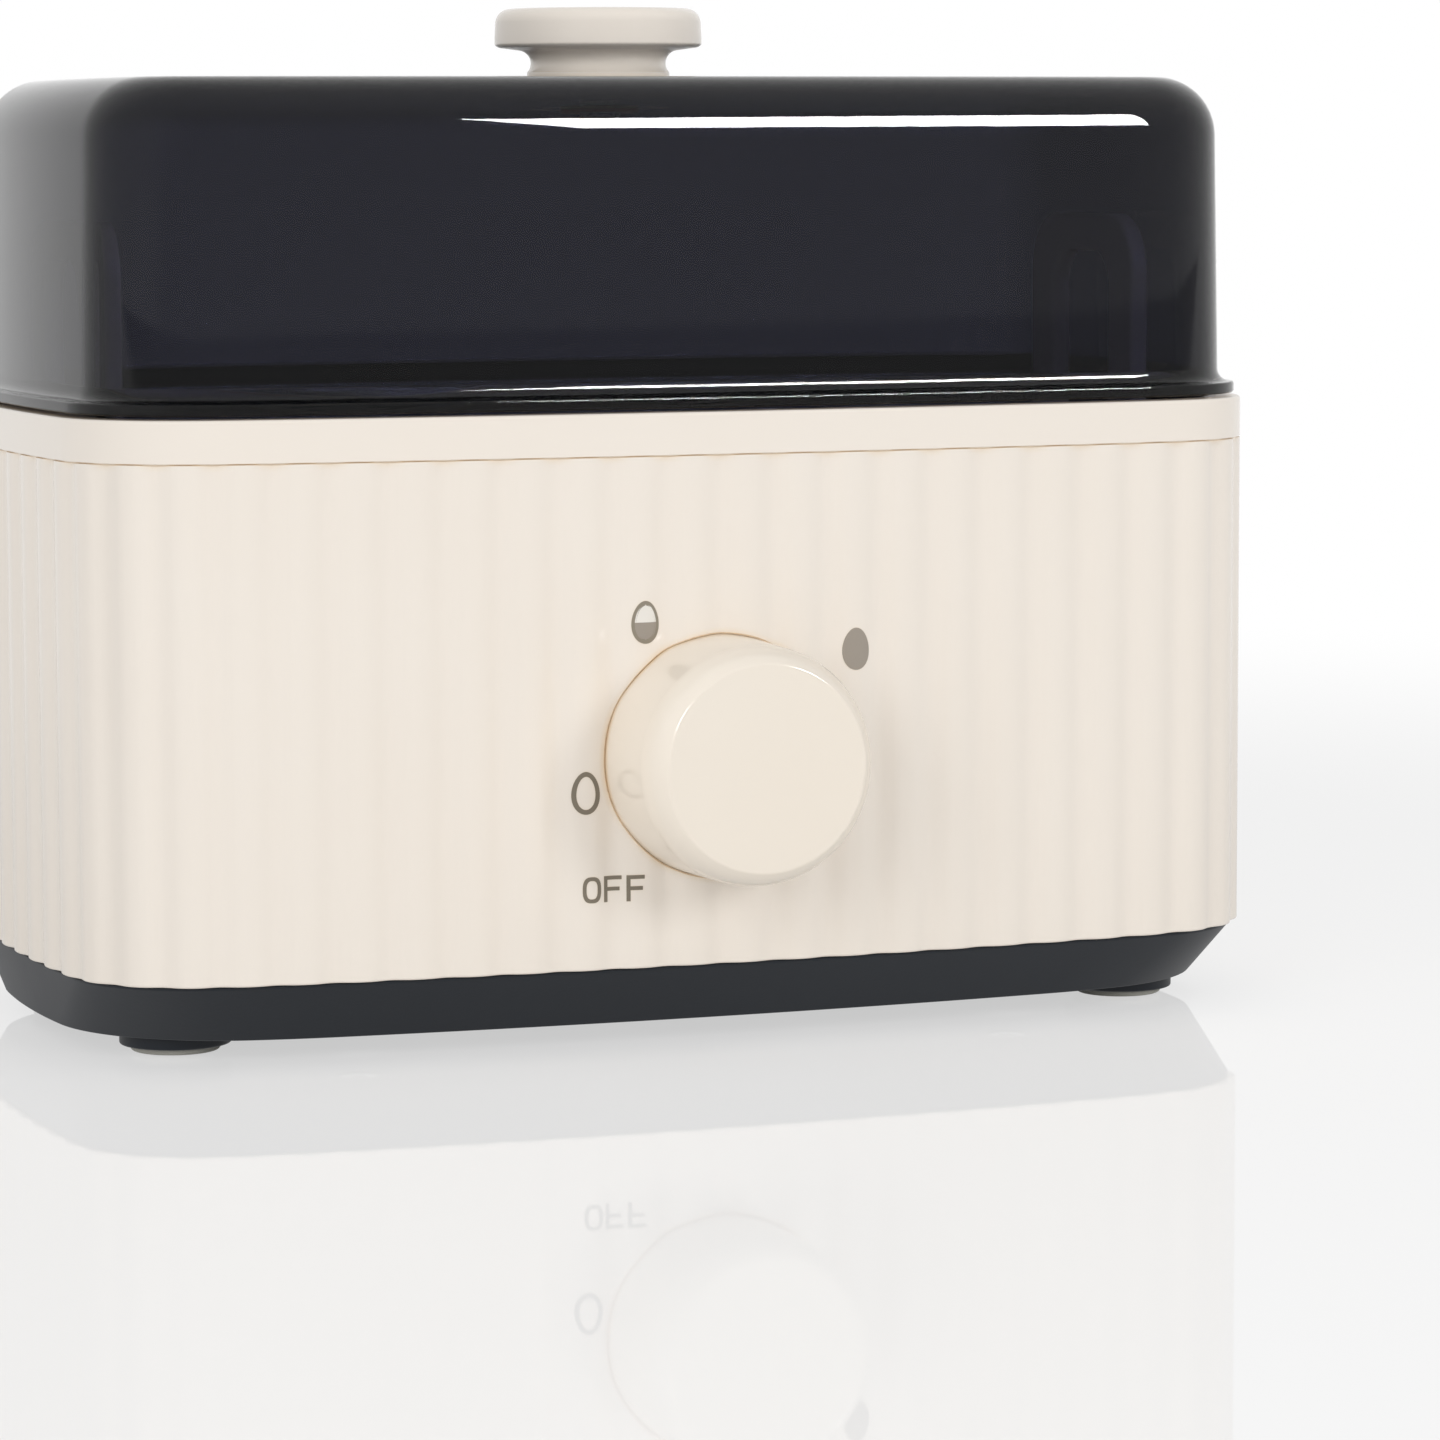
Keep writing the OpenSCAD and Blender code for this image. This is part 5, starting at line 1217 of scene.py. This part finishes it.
# lamp, its place and size in metres, its power's property, the one piece that it lights, and
# whether that piece mirrors it
LAMPS = [
    ("top softbox", (0.42, -0.35, 0.95), (0.5, 0.1), "top", None, False),
    ("fill softbox", (0.62, -1.3, 0.5), (0.4, 0.4), "fill", None, False),
    ("side softbox", (-1.05, -1.0, 0.55), (0.8, 0.8), "side", None, False),
    ("lid panel", (0.69, -1.13, 0.77), (0.8, 0.45), "lid_panel", "lid_cover", True),
    ("dial panel", (0.7, -0.78, 0.58), (0.25, 0.25), "dial_panel", "dial_cap", True),
    ("streak panel", (-0.9, -0.95, 0.75), (0.3, 0.45), "streak_panel", "dial_cap", True),
    ("dial card", (-1.3, -0.14, 0.7), (0.5, 0.5), "dial_card", "dial_cap", False),
]
AIM = Vector((0, 0, 0.07))      # what the lamps point at
SENSOR = 36                     # width of the camera's sensor in mm
SKY_NEAR, SKY_FAR = -0.5, -0.85         # headings between which the room behind the camera darkens
FLOOR_NEAR, FLOOR_FAR = -1.0, -2.5      # distances in front between which its floor darkens
FLOOR_ROOM = 0.68               # how bright that floor is, as a share of the room
BOARD_NEAR, BOARD_FAR = 0.25, 0.7       # distances between which the board fades into white
WHITE_PAINT = 0.95              # share of light that plain white paint gives back


class EGGCOOKER_OT_studio(bpy.types.Operator):
    """Sets up the camera, the white floor and background, and the lights"""
    bl_idname = "egg_cooker.studio"
    bl_label = "Studio"

    def execute(self, context):
        scene, studio = context.scene, context.scene.egg_cooker_studio
        scene.view_settings.view_transform = "Standard"
        self.camera(scene, studio)
        self.world(scene, studio)
        self.floor(scene, studio)
        for name, place, size, power, piece, mirrored in LAMPS:
            self.lamp(scene, name, place, size, getattr(studio, power), piece, mirrored)
        return {"FINISHED"}

    def camera(self, scene, studio):
        """A camera at its place, turned by its yaw, pitch and roll."""
        made = bpy.data.objects.new("camera", bpy.data.cameras.new("camera"))
        scene.collection.objects.link(made)
        made.data.lens, made.data.sensor_width = studio.lens, SENSOR
        level_turn = Euler((pi / 2 - studio.camera_pitch, 0, -studio.camera_yaw)).to_matrix()
        turn = level_turn @ Matrix.Rotation(studio.camera_roll, 3, "Z")
        made.matrix_world = Matrix.Translation(studio.camera_place) @ turn.to_4x4()
        scene.camera = made

    def seen(self, tree):
        """1 for rays that show the background: from the camera, off gloss or through glass."""
        path = node(tree, "LightPath").outputs
        direct = node(tree, "Math", {0: path["Is Camera Ray"], 1: path["Is Glossy Ray"]},
                      operation="MAXIMUM")
        return node(tree, "Math", {0: direct, 1: path["Is Transmission Ray"]}, operation="MAXIMUM")

    def shown(self, tree, forwards, near, far, least):
        """How bright the white surroundings are: 1 to the camera and through glass, and in gloss 1
        too, but falling to a least share in front of the part, where the room is dark."""
        room = node(tree, "MapRange", {"Value": forwards, "From Min": far, "From Max": near,
                                       "To Min": least, "To Max": 1},
                    interpolation_type="SMOOTHSTEP")
        gloss = node(tree, "LightPath").outputs["Is Glossy Ray"]
        return node(tree, "Mix", {0: gloss, 2: 1.0, 3: room}, data_type="FLOAT")

    def world(self, scene, studio):
        """White to what shows it, and the plain ambient light to everything else."""
        scene.world = bpy.data.worlds.new("white room")
        scene.world.use_nodes = True
        tree = scene.world.node_tree
        tree.nodes.clear()
        heading = node(tree, "SeparateXYZ", {0: node(tree, "TexCoord").outputs["Generated"]})
        white = self.shown(tree, heading.outputs["Y"], SKY_NEAR, SKY_FAR, studio.room)
        strength = node(tree, "Mix", {0: self.seen(tree), 2: studio.ambient, 3: white},
                        data_type="FLOAT")
        sky = node(tree, "Background", {"Color": (1, 1, 1, 1), "Strength": strength})
        node(tree, "OutputWorld", {"Surface": sky})

    def floor(self, scene, studio):
        """A glossy white board under the part that fades into plain white away from it. What shows
        it sees its shadow, its mirror image and a lift towards white; other light meets plain
        white paint."""
        reach, drop = 40.0, -0.2 * MM
        mesh = bpy.data.meshes.new("floor")
        mesh.from_pydata([(x * reach, y * reach, drop)
                          for x, y in ((-1, -1), (1, -1), (1, 1), (-1, 1))], [], [(0, 1, 2, 3)])
        made = bpy.data.objects.new("floor", mesh)
        scene.collection.objects.link(made)

        def build(tree):
            where = node(tree, "TexCoord").outputs["Object"]
            away = node(tree, "VectorMath", {0: where}, operation="LENGTH").outputs["Value"]
            far = node(tree, "MapRange",
                       {"Value": away, "From Min": BOARD_NEAR, "From Max": BOARD_FAR},
                       interpolation_type="SMOOTHSTEP")
            paint = node(tree, "BsdfDiffuse", {"Color": rgba([studio.floor_shade] * 3)})
            shine = node(tree, "BsdfGlossy", {"Roughness": 0.02})
            camera = node(tree, "LightPath").outputs["Is Camera Ray"]
            mirror = node(tree, "Math", {0: camera, 1: studio.floor_gloss}, operation="MULTIPLY")
            board = node(tree, "MixShader", {0: mirror, 1: paint, 2: shine})
            lift = node(tree, "Emission", {"Strength": studio.floor_lift})
            near = node(tree, "AddShader", {0: board, 1: lift})
            forwards = node(tree, "SeparateXYZ", {0: where}).outputs["Y"]
            bright = self.shown(tree, forwards, FLOOR_NEAR, FLOOR_FAR, studio.room * FLOOR_ROOM)
            white = node(tree, "Emission", {"Strength": bright})
            seen = node(tree, "MixShader", {0: far, 1: near, 2: white})
            plain = node(tree, "BsdfDiffuse", {"Color": rgba([WHITE_PAINT] * 3)})
            return {"Surface": node(tree, "MixShader", {0: self.seen(tree), 1: plain, 2: seen})}
        mesh.materials.append(surface("glossy white board", build))

    def lamp(self, scene, name, place, size, power, piece, mirrored):
        """A softbox that gives soft light, on one piece alone if it is named, or a panel that the
        piece mirrors."""
        light = bpy.data.lights.new(name, "AREA")
        light.shape, light.size, light.size_y, light.energy = "RECTANGLE", *size, power
        made = bpy.data.objects.new(name, light)
        turn = (AIM - Vector(place)).to_track_quat("-Z", "Y").to_matrix()
        made.matrix_world = Matrix.Translation(place) @ turn.to_4x4()
        scene.collection.objects.link(made)
        made.visible_diffuse, made.visible_glossy = not mirrored, mirrored
        if piece:
            lit = made.light_linking.receiver_collection = bpy.data.collections.new(name)
            lit.objects.link(bpy.data.objects[piece])


OPERATORS = [
    EGGCOOKER_OT_wall, EGGCOOKER_OT_rim, EGGCOOKER_OT_base, EGGCOOKER_OT_feet, EGGCOOKER_OT_screws,
    EGGCOOKER_OT_gland, EGGCOOKER_OT_pan, EGGCOOKER_OT_dial, EGGCOOKER_OT_marks, EGGCOOKER_OT_tray,
    EGGCOOKER_OT_handles, EGGCOOKER_OT_lid, EGGCOOKER_OT_pull, EGGCOOKER_OT_finishes,
    EGGCOOKER_OT_studio]
GROUPS = {"egg_cooker_body": EggCookerBody, "egg_cooker_moving": EggCookerMoving,
          "egg_cooker_marks": EggCookerMarks, "egg_cooker_colours": EggCookerColours,
          "egg_cooker_studio": EggCookerStudio}


class EGGCOOKER_PT_sidebar(bpy.types.Panel):
    """Lists the pieces to build"""
    bl_label = "Egg cooker"
    bl_space_type = "VIEW_3D"
    bl_region_type = "UI"
    bl_category = "Egg cooker"

    def draw(self, context):
        for operator in OPERATORS:
            self.layout.operator(operator.bl_idname)


def register():
    """Adds the add-on's classes, and its property groups to the scene."""
    for made in (*GROUPS.values(), *OPERATORS, EGGCOOKER_PT_sidebar):
        bpy.utils.register_class(made)
    for name, group in GROUPS.items():
        setattr(bpy.types.Scene, name, PointerProperty(type=group))


def unregister():
    """Takes away what register adds."""
    for name in GROUPS:
        delattr(bpy.types.Scene, name)
    for made in (EGGCOOKER_PT_sidebar, *reversed(OPERATORS), *GROUPS.values()):
        bpy.utils.unregister_class(made)


def main():
    register()
    for operator in OPERATORS:
        getattr(bpy.ops.egg_cooker, operator.bl_idname.split(".")[1])()


if __name__ == "__main__":
    main()
